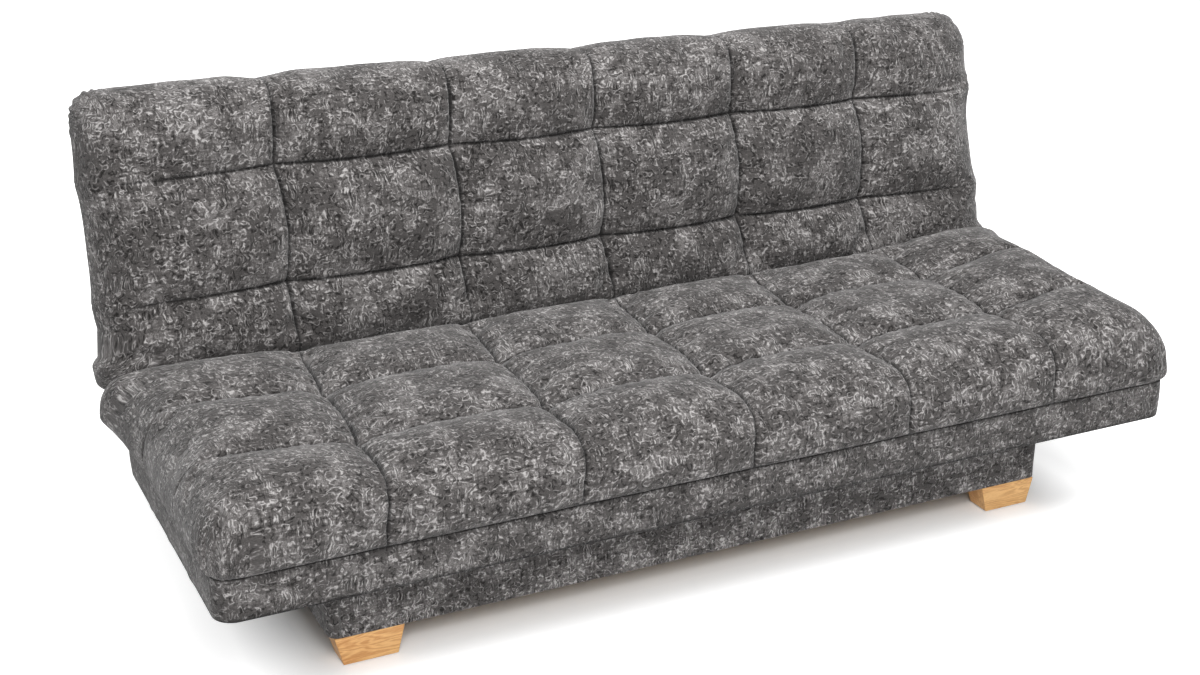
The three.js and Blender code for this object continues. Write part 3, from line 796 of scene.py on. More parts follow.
def ripple(first: np.ndarray, second: np.ndarray, size: float, seed: int, waves: int = 14) -> np.ndarray:
    """Adds up seeded waves of about one size, which look like slack in cloth.

    Args:
        first: places along the cloth.
        second: places down the cloth.
        size: the length of a wave, in metres.
        seed: what the waves are drawn from.
        waves: how many there are.

    Returns:
        The height at each place, about -1 to 1.
    """
    draw = np.random.default_rng(SEED + seed)
    total = np.zeros(np.broadcast(first, second).shape)
    for _ in range(waves):
        heading = draw.uniform(0, math.tau)
        length = size * draw.uniform(0.7, 1.6)
        phase = draw.uniform(0, math.tau)
        along = first * math.cos(heading) + second * math.sin(heading)
        total = total + np.sin(math.tau * along / length + phase)
    return total / math.sqrt(waves * 2)


def smooth_step(share: np.ndarray) -> np.ndarray:
    """Returns 0 below 0, 1 above 1 and an S-curve between them."""
    share = np.clip(share, 0, 1)
    return share * share * (3 - 2 * share)


def bell(distance: np.ndarray, width: float) -> np.ndarray:
    """Returns 1 at no distance, and a bell curve's less and less beyond the width."""
    return np.exp(-((distance / width) ** 2))


def arch(place: np.ndarray, low: float, high: float) -> np.ndarray:
    """Returns a smooth arch, 0 outside a span and 1 in its middle."""
    return np.sin(math.pi * np.clip((place - low) / (high - low), 0, 1)) ** 2


def smooth_lower(first: np.ndarray, second: np.ndarray, blend: float) -> np.ndarray:
    """Returns the lower of two heights, with the meeting rounded over a blend."""
    near = np.maximum(blend - np.abs(first - second), 0) / blend
    return np.minimum(first, second) - near * near * blend / 4


def surface_normals(points: np.ndarray) -> np.ndarray:
    """Returns the unit normals of a grid of points, one for each."""
    normal = np.cross(np.gradient(points, axis=1), np.gradient(points, axis=0))
    return normal / np.maximum(np.linalg.norm(normal, axis=-1, keepdims=True), TINY)


def divided(marks: Sequence[float], step: float) -> list[float]:
    """Divides the spans between some marks into even steps.

    Args:
        marks: the marks, rising, which all stay.
        step: about how long a step is.

    Returns:
        The marks and the places between them.
    """
    places = [marks[0]]
    for left, right in zip(marks, marks[1:]):
        count = max(1, round((right - left) / step))
        places.extend(np.linspace(left, right, count + 1)[1:])
    return places


def resample(knots: np.ndarray, breaks: Sequence[float], places: np.ndarray) -> np.ndarray:
    """Makes the weights that carry values from some lines to others, smoothly but for the breaks.

    Args:
        knots: where the values are known, rising.
        breaks: knots at which the values may turn sharply.
        places: where the values are wanted.

    Returns:
        One row of weights for each wanted place.
    """
    weights = np.zeros((len(places), len(knots)))
    last = len(knots) - 1
    sharp = [bool(np.min(np.abs(np.asarray(breaks) - knot)) < SAME_PLACE) for knot in knots]
    start = np.clip(np.searchsorted(knots, places, side="right") - 1, 0, last - 1)
    for row, (place, left) in enumerate(zip(places, start)):
        t = (place - knots[left]) / (knots[left + 1] - knots[left])
        t = min(max(t, 0.0), 1.0)
        before = -0.5 * t + t * t - 0.5 * t ** 3
        here = 1 - 2.5 * t * t + 1.5 * t ** 3
        there = 0.5 * t + 2 * t * t - 1.5 * t ** 3
        after = -0.5 * t * t + 0.5 * t ** 3
        weights[row, left] += here
        weights[row, left + 1] += there
        if left == 0 or sharp[left]:
            weights[row, left] += 2 * before
            weights[row, left + 1] -= before
        else:
            weights[row, left - 1] += before
        if left + 1 == last or sharp[left + 1]:
            weights[row, left + 1] += 2 * after
            weights[row, left] -= after
        else:
            weights[row, left + 2] += after
    return weights


# The wings' shared space
@dataclass(frozen=True)
class WingSpace:
    """A wing's own directions from its hinge: along the sofa, outwards, and up from its frame."""

    hinge: tuple[float, float, float]
    tilt: float
    facing: int
    over: int = 1

    def over_turned(self) -> WingSpace:
        """Returns the same space seen from below, with up and down changed over."""
        return WingSpace(self.hinge, self.tilt, self.facing, -self.over)

    def axes(self) -> np.ndarray:
        """Works out the space's directions.

        Returns:
            One row each for along, outwards and up off the wing.
        """
        outward = (0.0, self.facing * math.cos(self.tilt), math.sin(self.tilt))
        upward = (0.0, -self.over * self.facing * math.sin(self.tilt), self.over * math.cos(self.tilt))
        return np.array([(1.0, 0.0, 0.0), outward, upward])

    def world(self, points: np.ndarray) -> np.ndarray:
        """Carries points from the wing's space to the sofa's."""
        return points @ self.axes() + np.array(self.hinge)

    def own(self, points: np.ndarray) -> np.ndarray:
        """Carries points from the sofa's space to the wing's."""
        return (points - np.array(self.hinge)) @ self.axes().T

    def turned(self) -> bool:
        """Tells whether faces turn over on the way to the sofa's space."""
        return bool(np.linalg.det(self.axes()) < 0)

    def extent(self, node: str) -> tuple[np.ndarray, np.ndarray]:
        """Measures a CAD node in the wing's space.

        Args:
            node: the node's name.

        Returns:
            Its lowest and its highest corner.
        """
        mesh = frame["nodes"][node].data
        points = np.zeros(len(mesh.vertices) * 3)
        mesh.vertices.foreach_get("co", points)
        own = self.own(points.reshape(-1, 3))
        return own.min(axis=0), own.max(axis=0)


# Cushions
@dataclass(frozen=True)
class EdgeProfile:
    """How a soft piece's edge turns down, from its top to its foot."""

    corner: float
    run: float
    drop: float
    tuck: float
    crown: float
    foot: float
    full: float = 2.0
    top_points: int = 11
    arc_points: int = 60

    def curve(self) -> tuple[np.ndarray, np.ndarray, np.ndarray]:
        """Draws the edge: the flat top, the rounding to the belly, then the tuck under it.

        Returns:
            The lengths along the edge, with the inset and the height at each.
        """
        angle = np.linspace(0, math.pi / 2, self.arc_points)
        under = angle[1:]
        power = 2 / self.full
        belly = self.crown - self.drop
        inset = np.concatenate([
            np.linspace(self.corner, self.run, self.top_points + 1)[:-1],
            self.run * (1 - np.sin(angle) ** power),
            self.tuck * (1 - np.cos(under)),
        ])
        height = np.concatenate([
            np.full(self.top_points, self.crown),
            belly + self.drop * np.cos(angle) ** power,
            belly - (belly - self.foot) * np.sin(under),
        ])
        steps = np.hypot(np.diff(inset), np.diff(height))
        return np.concatenate([[0.0], np.cumsum(steps)]), inset, height

    def length(self) -> float:
        """Returns how long the edge is from the top to the foot."""
        return float(self.curve()[0][-1])

    def at(self, shares: np.ndarray) -> tuple[np.ndarray, np.ndarray]:
        """Finds places on the edge.

        Args:
            shares: shares of the edge's length, from 0 to 1.

        Returns:
            The inset and the height at each.
        """
        lengths, inset, height = self.curve()
        wanted = shares * lengths[-1]
        return np.interp(wanted, lengths, inset), np.interp(wanted, lengths, height)


@dataclass(frozen=True)
class AxisLines:
    """The lines of a grid in one direction of a soft piece.

    Each has its place on the flat cloth, its place on the flat top, its share of the way down the edge and
    the side that this edge is on, -1 or 1.
    """

    place: np.ndarray
    at: np.ndarray
    out: np.ndarray
    side: np.ndarray


def down_edge(across: AxisLines, outward: AxisLines) -> np.ndarray:
    """Returns how far down the edge each point of the grid is: 0 on the top, 1 at the foot."""
    return np.maximum(across.out[None, :], outward.out[:, None])


def on_cloth(across: AxisLines, outward: AxisLines) -> np.ndarray:
    """Returns the place of each point of the grid on the flat cloth."""
    return np.stack(np.broadcast_arrays(across.place[None, :], outward.place[:, None]), axis=-1)


@dataclass(kw_only=True)
class SoftSlab:
    """A soft piece with a round-cornered outline, a soft edge and a flat foot."""

    name: str
    space: WingSpace
    finish: Finish
    half_length: float
    near: float
    reach: float
    foot: float
    crown: float
    corner: float
    edge_run: float = 0.0005
    edge_drop: float = 0.0005
    tuck: float = 0.0
    full: float = 2.0
    far_square: tuple[float, float] = (2.0, 2.0)
    near_square: tuple[float, float] = (2.0, 2.0)
    fine: float = 0.012
    fine_rings: int = 5

    def profiles(self) -> tuple[EdgeProfile, EdgeProfile, EdgeProfile]:
        """Describes the piece's edges.

        Returns:
            The edge at the two ends, the one away from the hinge and the one beside it.
        """
        edge = EdgeProfile(self.corner, self.edge_run, self.edge_drop, self.tuck, self.crown, self.foot,
                           self.full)
        return edge, edge, edge

    def lines(self, spacing: float, rings: int, offsets: Sequence[float] = (),
              columns: Sequence[float] = (), rows: Sequence[float] = ()) -> tuple[AxisLines, AxisLines]:
        """Lays out the lines of a grid.

        Args:
            spacing: about how far apart they are.
            rings: how many go round the edge.
            offsets: how far from each seam there is a line.
            columns: the places of the seams along the piece.
            rows: the places of the seams outwards.

        Returns:
            The lines along the piece and those outwards.
        """
        end, far, near = self.profiles()
        across = self._axis(-self.half_length + self.corner, self.half_length - self.corner, columns,
                            spacing, rings, offsets, end.length(), end.length())
        outward = self._axis(self.near + self.corner, self.reach - self.corner, rows,
                             spacing, rings, offsets, near.length(), far.length())
        return across, outward

    @staticmethod
    def _axis(low: float, high: float, seams: Sequence[float], spacing: float, rings: int,
              offsets: Sequence[float], low_length: float, high_length: float) -> AxisLines:
        """Lays out the lines of one direction between two corners and down the edges beyond them.

        Args:
            low: the first corner's place.
            high: the second corner's place.
            seams: the places of the seams.
            spacing: about how far apart the lines are.
            rings: how many go down each edge.
            offsets: how far from each seam there is a line.
            low_length: the length of the edge beyond the first corner.
            high_length: the length of the edge beyond the second corner.

        Returns:
            The lines.
        """
        marks = {round(seam + way * offset, 6) for seam in seams for offset in offsets for way in (-1, 1)}
        inner = divided(sorted(mark for mark in marks | {low, high} if low <= mark <= high), spacing)
        shares = np.arange(1, rings + 1) / rings
        place = np.concatenate([low - shares[::-1] * low_length, inner, high + shares * high_length])
        at = np.concatenate([np.full(rings, low), inner, np.full(rings, high)])
        out = np.concatenate([shares[::-1], np.zeros(len(inner)), shares])
        side = np.concatenate([np.full(rings, -1.0), np.zeros(len(inner)), np.full(rings, 1.0)])
        return AxisLines(place, at, out, side)

    def surface(self, across: AxisLines, outward: AxisLines) -> np.ndarray:
        """Lays the skin over its lines: flat on the top, and round the edges and the corners.

        Args:
            across: the lines along the piece.
            outward: its lines outwards.

        Returns:
            A grid of points, without any seam.
        """
        ring = down_edge(across, outward)
        out_x, out_s = np.broadcast_arrays(across.out[None, :], outward.out[:, None])
        ratio = np.minimum(out_x, out_s) / np.maximum(ring, TINY)
        turn = np.where(out_x >= out_s, ratio * math.pi / 4, math.pi / 2 - ratio * math.pi / 4)
        share = turn / (math.pi / 2)
        hinge_side = outward.side[:, None] < 0
        (inset_x, height_x), far_edge, near_edge = (edge.at(ring) for edge in self.profiles())
        inset_s, height_s = (np.where(hinge_side, near, far) for near, far in zip(near_edge, far_edge))
        radius = self.corner - (inset_x * (1 - share) + inset_s * share)
        edge_height = height_x * (1 - share) + height_s * share
        far_power, near_power = (top + (foot - top) * ring * ring
                                 for top, foot in (self.far_square, self.near_square))
        square = np.where(hinge_side, near_power, far_power)
        reach_x = radius * np.cos(turn) ** (2 / square)
        reach_s = radius * np.sin(turn) ** (2 / square)
        x = across.at[None, :] + np.where(out_x > 0, across.side[None, :] * reach_x, 0)
        s = outward.at[:, None] + np.where(out_s > 0, outward.side[:, None] * reach_s, 0)
        return np.stack([x, s, np.where(ring > 0, edge_height, self.crown)], axis=-1)

    @staticmethod
    def faces(rows: int, columns: int) -> list[Sequence[int]]:
        """Lays the faces of the skin and of its flat foot.

        Args:
            rows: how many rows of points there are.
            columns: how many points a row has.

        Returns:
            The faces.
        """
        number = np.arange(rows * columns).reshape(rows, columns)
        skin = grid_faces(rows, columns).tolist()
        strips = [[number[0, i + 1], number[0, i], number[-1, i], number[-1, i + 1]]
                  for i in range(columns - 1)]
        ends = [number[:, 0].tolist(), number[::-1, -1].tolist()]
        return [*skin, *strips, *ends]

    def skin(self) -> tuple[np.ndarray, np.ndarray, np.ndarray]:
        """Shapes the piece in its own space.

        Returns:
            The points, their places on the cloth and the painted seam shade at each, which is none here.
        """
        across, outward = self.lines(self.fine, self.fine_rings)
        points = self.surface(across, outward)
        points[..., 2] += self.relief(points[..., 0], points[..., 1])
        return points, on_cloth(across, outward), np.zeros(points.shape[:2])

    def relief(self, along: np.ndarray, out: np.ndarray) -> np.ndarray:
        """Returns how far the skin stands out at each place."""
        return np.zeros(np.broadcast(along, out).shape)

    def build(self) -> bpy.types.Object:
        """Builds the piece in place, with its place on the cloth at each point.

        Returns:
            The piece.
        """
        points, flat, seam = self.skin()
        rows, columns = points.shape[:2]
        world = self.space.world(points.reshape(-1, 3))
        piece = mesh_piece(self.name, world, self.faces(rows, columns), self.finish, self.space.turned())
        lay_cloth(piece, flat.reshape(-1, 2), seam.ravel())
        return piece


@dataclass(kw_only=True)
class LiningSheet(SoftSlab):
    """The thin lining stapled over the open side of a frame; it sinks a little between the rails."""

    bays_along: tuple[tuple[float, float], ...]
    bays_out: tuple[tuple[float, float], ...]
    sag: float
    slack_size: float = 0.3
    staple_gap: float = 0.045
    staple_inset: float = 0.012
    staple_pull: float = 0.008
    staple_depth: float = 0.0003
    seed: int = 40

    def relief(self, along: np.ndarray, out: np.ndarray) -> np.ndarray:
        """Works out the lining's sag between the rails and the dents of its staples.

        Args:
            along: places along the sofa.
            out: places outwards.

        Returns:
            How far the lining stands out at each place.
        """
        over = sum(arch(along, *bay) for bay in self.bays_along)
        over = over * sum(arch(out, *bay) for bay in self.bays_out)
        sink = self.sag * over * (0.7 + 0.3 * ripple(along, out, self.slack_size, self.seed))
        from_end = self.half_length - np.abs(along)
        edge = np.minimum(from_end, np.minimum(out - self.near, self.reach - out))
        run = np.where(from_end < out - self.near, out, along)
        dent = bell(edge - self.staple_inset, self.staple_pull) * np.sin(math.pi * run / self.staple_gap) ** 8
        return sink - self.staple_depth * dent


@dataclass(frozen=True)
class SeamPlan:
    """Where the cover is sewn down, and how deep."""

    columns: tuple[float, ...]
    rows: tuple[float, ...]
    column_bows: tuple[float, ...] = (0.0, 0.0, 0.0)
    row_bow: float = 0.0
    column_lean: tuple[float, float] = (0.0, 0.0)
    row_lean: float = 0.0
    foot_drift: float = 0.0
    tuft_depth: float = 0.027
    column_depth: float = 0.015
    row_depth: float = 0.006
    dip_length: float = 0.036
    dip_power: float = 2.2
    span: float = 0.085
    end_fade: float = 0.16
    end_hold: tuple[float, float] = (1.0, 1.0)

    def distances(self, along: np.ndarray, out: np.ndarray) -> tuple[np.ndarray, np.ndarray]:
        """Measures from the seams.

        Args:
            along: places along the sofa.
            out: places outwards.

        Returns:
            How far each place is from the nearest column seam and from the nearest row seam.
        """
        column = np.min([np.abs(along - place) for place in self.columns], axis=0)
        row = np.min([np.abs(out - place) for place in self.rows], axis=0)
        return column, row

    def fade(self, along: np.ndarray, share: float = 1.0) -> np.ndarray:
        """Returns 1 between the outer columns, and less and less beyond them."""
        outside = np.maximum(np.abs(along) - max(abs(place) for place in self.columns), 0)
        return bell(outside, share * self.end_fade)

    def nearness(self, along: np.ndarray, out: np.ndarray, width: float) -> np.ndarray:
        """Returns 1 on a seam and less and less beside it, and beyond the outer columns on the rows.

        Args:
            along: places along the sofa.
            out: places outwards.
            width: how wide the seam is.

        Returns:
            How near each place is to a seam.
        """
        column, row = self.distances(along, out)
        return np.maximum(bell(column, width), self.fade(along, 2.0) * bell(row, width))

    def hold(self, along: np.ndarray) -> np.ndarray:
        """Returns how firmly the rows are sewn down at each place along them."""
        at_end = np.where(along < 0, *self.end_hold)
        return at_end + (1 - at_end) * self.fade(along, 0.6)

    def wander(self, across: AxisLines, outward: AxisLines) -> np.ndarray:
        """Returns how far the seams, and the cover with them, lie off their straight lines.

        Args:
            across: the cover's lines along the sofa.
            outward: its lines outwards.

        Returns:
            The move along and outwards at each point.
        """
        along, out = across.place[None, :], outward.place[:, None]
        end = across.place[-1]
        low, high = outward.place[0], outward.place[-1]
        keep_x = np.clip((end - np.abs(along)) / (end - max(np.abs(self.columns))), 0, 1)
        keep_s = np.clip((out - low) / (self.rows[0] - low), 0, 1)
        keep_s = keep_s * np.clip((high - out) / (high - self.rows[-1]), 0, 1)
        rows = [low, *self.rows, high]
        columns = [-end, *self.columns, end]
        bow = sum(size * arch(out, *span) ** 0.5 for size, span in zip(self.column_bows, zip(rows, rows[1:])))
        arches = sum(arch(along, *span) ** 0.5 for span in zip(columns, columns[1:]))
        lean = self.column_lean[0] + self.column_lean[1] * along
        middle = (self.rows[0] + self.rows[-1]) / 2
        to_right = np.clip(along / end + 0.35, 0, 1)
        foot = self.foot_drift * to_right * np.clip(1 - out / self.rows[0], 0, 1)
        move_x = keep_x * (bow + lean * (out - middle) + foot)
        move_s = keep_s * (self.row_bow * arches + self.row_lean * along * keep_x)
        return np.stack([move_x, move_s, np.zeros_like(move_x)], axis=-1)

    def depth(self, along: np.ndarray, out: np.ndarray) -> np.ndarray:
        """Works out how far the seams draw the cover down.

        Args:
            along: places along the sofa.
            out: places outwards.

        Returns:
            The depth at each place.
        """
        column, row = self.distances(along, out)
        near_row = np.exp(-row / self.dip_length)
        near_column = np.exp(-column / self.dip_length)
        column_pull = self.column_depth + (self.tuft_depth - self.column_depth) * near_row
        row_pull = self.fade(along) * self.row_depth + (self.tuft_depth - self.row_depth) * near_column
        beside_column = np.maximum(0, 1 - column / self.span) ** self.dip_power
        beside_row = np.maximum(0, 1 - row / self.span) ** self.dip_power
        return np.maximum(column_pull * beside_column, row_pull * beside_row)


@dataclass
class ClothPress:
    """Blows a sewn cover up with Blender's cloth, held at its seams and its foot."""

    pressure: float = 4.0
    frames: int = 20
    slack: float = 0.03
    stiffness: float = 12.0
    bend: float = 0.6
    pin: float = 20.0
    mass: float = 0.3
    quality: int = 4
    cap: float = 0.022

    def swell(self, points: np.ndarray, faces: Sequence[Sequence[int]], held: np.ndarray,
              taut: np.ndarray) -> np.ndarray:
        """Simulates a closed cover.

        Args:
            points: where the cover starts, one row each.
            faces: its faces.
            held: from 0, free, to 1, fixed, for each point.
            taut: from 0, with slack, to 1, without it, for each point.

        Returns:
            How far each point moved.
        """
        mesh = bpy.data.meshes.new("press")
        mesh.from_pydata(points.tolist(), [], [list(map(int, face)) for face in faces])
        cover = in_scene("press", mesh)
        for name, shares in (("held", held), ("taut", taut)):
            group = cover.vertex_groups.new(name=name)
            for share in np.unique(shares[shares > 0]):
                group.add(np.flatnonzero(shares == share).tolist(), float(share), "REPLACE")
        cloth = cover.modifiers.new("cloth", "CLOTH")
        cloth.point_cache.frame_start = 1
        cloth.point_cache.frame_end = self.frames
        choices = {
            "quality": self.quality, "mass": self.mass, "vertex_group_mass": "held",
            "pin_stiffness": self.pin, "tension_stiffness": self.stiffness,
            "compression_stiffness": self.stiffness, "shear_stiffness": self.stiffness / 3,
            "bending_stiffness": self.bend, "vertex_group_shrink": "taut", "shrink_min": -self.slack,
            "shrink_max": 0.0, "use_pressure": True, "uniform_pressure_force": self.pressure,
        }
        for name, value in choices.items():
            setattr(cloth.settings, name, value)
        cloth.settings.effector_weights.gravity = 0.0
        cloth.collision_settings.use_collision = False
        scene = bpy.context.scene
        for step in range(1, self.frames + 1):
            scene.frame_set(step)
        evaluated = cover.evaluated_get(bpy.context.evaluated_depsgraph_get())
        moved = np.zeros(len(points) * 3)
        evaluated.data.vertices.foreach_get("co", moved)
        move = moved.reshape(-1, 3) - points
        scene.frame_set(1)
        bpy.data.objects.remove(cover)
        bpy.data.meshes.remove(mesh)
        far = np.linalg.norm(move, axis=1, keepdims=True)
        return move * np.minimum(1.0, self.cap / np.maximum(far, TINY))


@dataclass(kw_only=True)
class TuftedCushion(SoftSlab):
    """A cushion in its chenille cover, sewn down in columns and rows, with a tuft where they cross."""

    plan: SeamPlan
    fold: float
    fill: float = 0.75
    corner: float = 0.105
    edge_run: float = 0.076
    edge_drop: float = 0.070
    tuck: float = 0.018
    full: float = 2.2
    fine: float = 0.0062
    fine_rings: int = 30
    near_run: float = 0.024
    near_drop: float = 0.048
    near_tuck: float = 0.003
    far_square: tuple[float, float] = (2.2, 4.8)
    near_square: tuple[float, float] = (4.5, 9.0)
    # how its ends are drawn out or in, and how its crown rises there
    ends_near: tuple[float, float] = (0.0, 0.0)
    ends_far: tuple[float, float] = (0.0, 0.0)
    ends_span: tuple[float, float] = (0.8, 0.8)
    far_rise: tuple[float, float] = (0.0, 0.0)
    crown_rise: tuple[float, float] = (0.0, 0.0)
    far_span: float = 0.8
    pull_from: float = 0.72
    pull_blend: float = 0.24
    rise_from: float = 0.6
    rise_blend: float = 0.25
    top_blend: float = 0.02
    foot_blend: float = 0.045
    # pleats at the far corners, folds beside the hinge and the fold where the two cushions meet
    gather: float = 0.0024
    gather_waves: float = 34.0
    gather_from: float = 0.35
    end_fold: float = 0.0
    end_fold_from: float = 0.86
    end_fold_blend: float = 0.1
    end_fold_place: float = 0.045
    end_fold_reach: float = 0.05
    end_fold_wave: float = 0.047
    fold_gap: float = 0.0008
    fold_blend: float = 0.018
    # the seams' grooves, and the painted shade in them and in the crease at the foot
    groove_depth: float = 0.0058
    groove_width: float = 0.0024
    groove_offsets: tuple[float, ...] = (0.0, 0.0016, 0.004, 0.008)
    seam_shade_width: float = 0.0020
    seam_shade_share: float = 0.92
    crease_shade_share: float = 0.9
    crease_shade_fade: float = 0.004
    # puckers, waves and the tufts' folds, and where they fade
    pucker: float = 0.0009
    pucker_size: float = 0.022
    pucker_draw: float = 0.2
    wave: float = 0.0011
    wave_size: float = 0.11
    lift_fade: float = 0.1
    sewn_fade: float = 0.15
    open_from: float = 0.045
    open_blend: float = 0.05
    open_least: float = 0.12
    tuft_folds: int = 7
    tuft_widths: tuple[float, float] = (0.10, 0.2)
    tuft_heights: tuple[float, float] = (0.4, 1.0)
    tuft_lengths: tuple[float, float] = (0.03, 0.06)
    tuft_rise: float = 0.0026
    tuft_size: float = 0.012
    # the coarse grid that is blown up, and how it is held
    coarse: float = 0.0115
    coarse_rings: int = 16
    loose: float = 0.009
    slack: float = 0.03
    loose_row: float = 0.15
    seam_reach: float = 0.03
    foot_reach: float = 0.45
    taut_rate: float = 1.6
    seam_hold: float = 0.9
    foot_hold: float = 0.012
    pawl_room: float = 0.0
    seed: int = 1

    def profiles(self) -> tuple[EdgeProfile, EdgeProfile, EdgeProfile]:
        """Describes the piece's edges.

        Returns:
            The edge at the two ends, the one away from the hinge and the one beside it.
        """
        end, far, _ = super().profiles()
        near = EdgeProfile(self.corner, self.near_run, self.near_drop, self.near_tuck, self.crown, self.foot)
        return end, far, near

    def surface(self, across: AxisLines, outward: AxisLines) -> np.ndarray:
        """Lays the full cushion's skin, pressed flat where the other cushion leans on it.

        Args:
            across: its lines along the sofa.
            outward: its lines outwards.

        Returns:
            A grid of points, without any seam.
        """
        points = super().surface(across, outward)
        fold_line = points[..., 1] * math.tan(self.fold) - self.fold_gap
        height = smooth_lower(fold_line, points[..., 2], self.fold_blend)
        points[..., 2] = np.where(points[..., 2] > 0, np.maximum(height, 0), points[..., 2])
        outward_share = np.clip((points[..., 1] - self.near) / (self.reach - self.near), 0, 1)
        on_top = np.clip((points[..., 2] + self.top_blend) / (self.crown + self.top_blend), 0, 1)
        off_foot = smooth_step((points[..., 2] - self.foot) / self.foot_blend)
        along = points[..., 0] / self.half_length
        ends = zip((-1, 1), self.ends_near, self.ends_far, self.ends_span, self.crown_rise)
        for side, pull_near, pull_far, span, rise in ends:
            share = smooth_step(outward_share / span)
            pull = off_foot * (pull_near * (1 - share) + pull_far * share)
            near_end = smooth_step((side * along - self.pull_from) / self.pull_blend)
            over_end = np.clip((side * along - self.rise_from) / self.rise_blend, 0, 1) * (1 - along ** 16)
            points[..., 0] += side * pull * near_end
            points[..., 2] += rise * on_top * over_end
        low, high = self.far_rise
        far = smooth_step(outward_share / self.far_span)
        points[..., 1] += far * (low * (1 - along) + high * (1 + along)) / 2
        return points

    def _end_folds(self, points: np.ndarray) -> np.ndarray:
        """Makes the folds of the cover at its ends beside the hinge.

        Args:
            points: the skin's points.

        Returns:
            The folds' height at each point.
        """
        at_end = np.abs(points[..., 0]) / self.half_length - self.end_fold_from
        near = bell(points[..., 1] - self.near - self.end_fold_place, self.end_fold_reach)
        waves = 0.6 + np.sin(math.tau * points[..., 1] / self.end_fold_wave + 4 * points[..., 2])
        return self.end_fold * waves * near * np.clip(at_end / self.end_fold_blend, 0, 1)

    def _gathers(self, across: AxisLines, outward: AxisLines) -> np.ndarray:
        """Makes the small pleats that take up the cover at its far corners.

        Args:
            across: the cover's lines along the sofa.
            outward: its lines outwards.

        Returns:
            The pleats' height at each point.
        """
        ring = down_edge(across, outward)
        out_x, out_s = across.out[None, :], outward.out[:, None]
        at_corner = np.minimum(out_x, out_s) / np.maximum(ring, TINY)
        at_corner = np.where(outward.side[:, None] > 0, at_corner, 0)
        turn = across.side[None, :] * (1 + np.arctan2(out_s, np.maximum(out_x, TINY)))
        pleats = np.sin(self.gather_waves * turn + 2.2 * np.sin(5 * turn)) * (0.6 + 0.4 * np.sin(11 * turn))
        low = np.clip((ring - self.gather_from) / 0.3, 0, 1)
        beside = np.clip(at_corner * 6, 0, 1)
        return self.gather * pleats * low * beside

    def build(self) -> bpy.types.Object:
        """Builds the cushion in place.

        Returns:
            The cushion's cover.
        """
        piece = super().build()
        return piece

    def skin(self) -> tuple[np.ndarray, np.ndarray, np.ndarray]:
        """Shapes the cushion in its own space: full skin, seams, cloth, then the fine sewing.

        Returns:
            The points, their places on the cloth and the painted shade at each, in the seams and the crease
            at the foot.
        """
        across, outward = self.lines(self.fine, self.fine_rings, self.groove_offsets, self.plan.columns,
                                     self.plan.rows)
        points = self._sewn(across, outward)
        move = self._swelling(across, outward)
        points, seam = self._stitched(points + move, across, outward)
        return self._cleared(points), on_cloth(across, outward), seam

    def _cleared(self, points: np.ndarray) -> np.ndarray:
        """Keeps the skin off the pawls, which swing towards it as the back goes down.

        Args:
            points: the skin's points.

        Returns:
            The points, moved where a pawl needs the room.
        """
        for node in ("pawl_left", "pawl_right"):
            low, high = self.space.extent(node)
            aside = np.abs(points[..., 0] - (low[0] + high[0]) / 2)
            beside = smooth_step((PAWL_SPAN - aside) / PAWL_FADE)
            points[..., 1] += beside * np.maximum(self.pawl_room - points[..., 1], 0)
        return points

    def _sewn(self, across: AxisLines, outward: AxisLines) -> np.ndarray:
        """Draws the skin in by its seams, with slack between them.

        Args:
            across: its lines along the sofa.
            outward: its lines outwards.

        Returns:
            The sewn skin, a grid of points.
        """
        skin = self.surface(across, outward) + self.plan.wander(across, outward)
        depth = self.plan.depth(across.place[None, :], outward.place[:, None])
        fall = depth + self.loose * self._freedom(across, outward)
        fall = fall * np.clip((1 - down_edge(across, outward)) / self.sewn_fade, 0, 1)
        return skin - surface_normals(skin) * (fall * self._open(skin))[..., None]

    def _open(self, skin: np.ndarray) -> np.ndarray:
        """Returns 1 where the cover lies open, and less where the other cushion presses on it."""
        return np.clip((skin[..., 1] - self.open_from) / self.open_blend, self.open_least, 1)

    def _freedom(self, across: AxisLines, outward: AxisLines) -> np.ndarray:
        """Works out how free the cover is to swell.

        Args:
            across: its lines along the sofa.
            outward: its lines outwards.

        Returns:
            0 at a seam and at the foot, and up to 1 between them, for each point.
        """
        column, row = self.plan.distances(across.place[None, :], outward.place[:, None])
        row = row + self.loose_row * (1 - self.plan.hold(across.place))[None, :]
        from_seam = 1 - np.exp(-np.minimum(column, row) / self.seam_reach)
        return from_seam * smooth_step((1 - down_edge(across, outward)) / self.foot_reach)

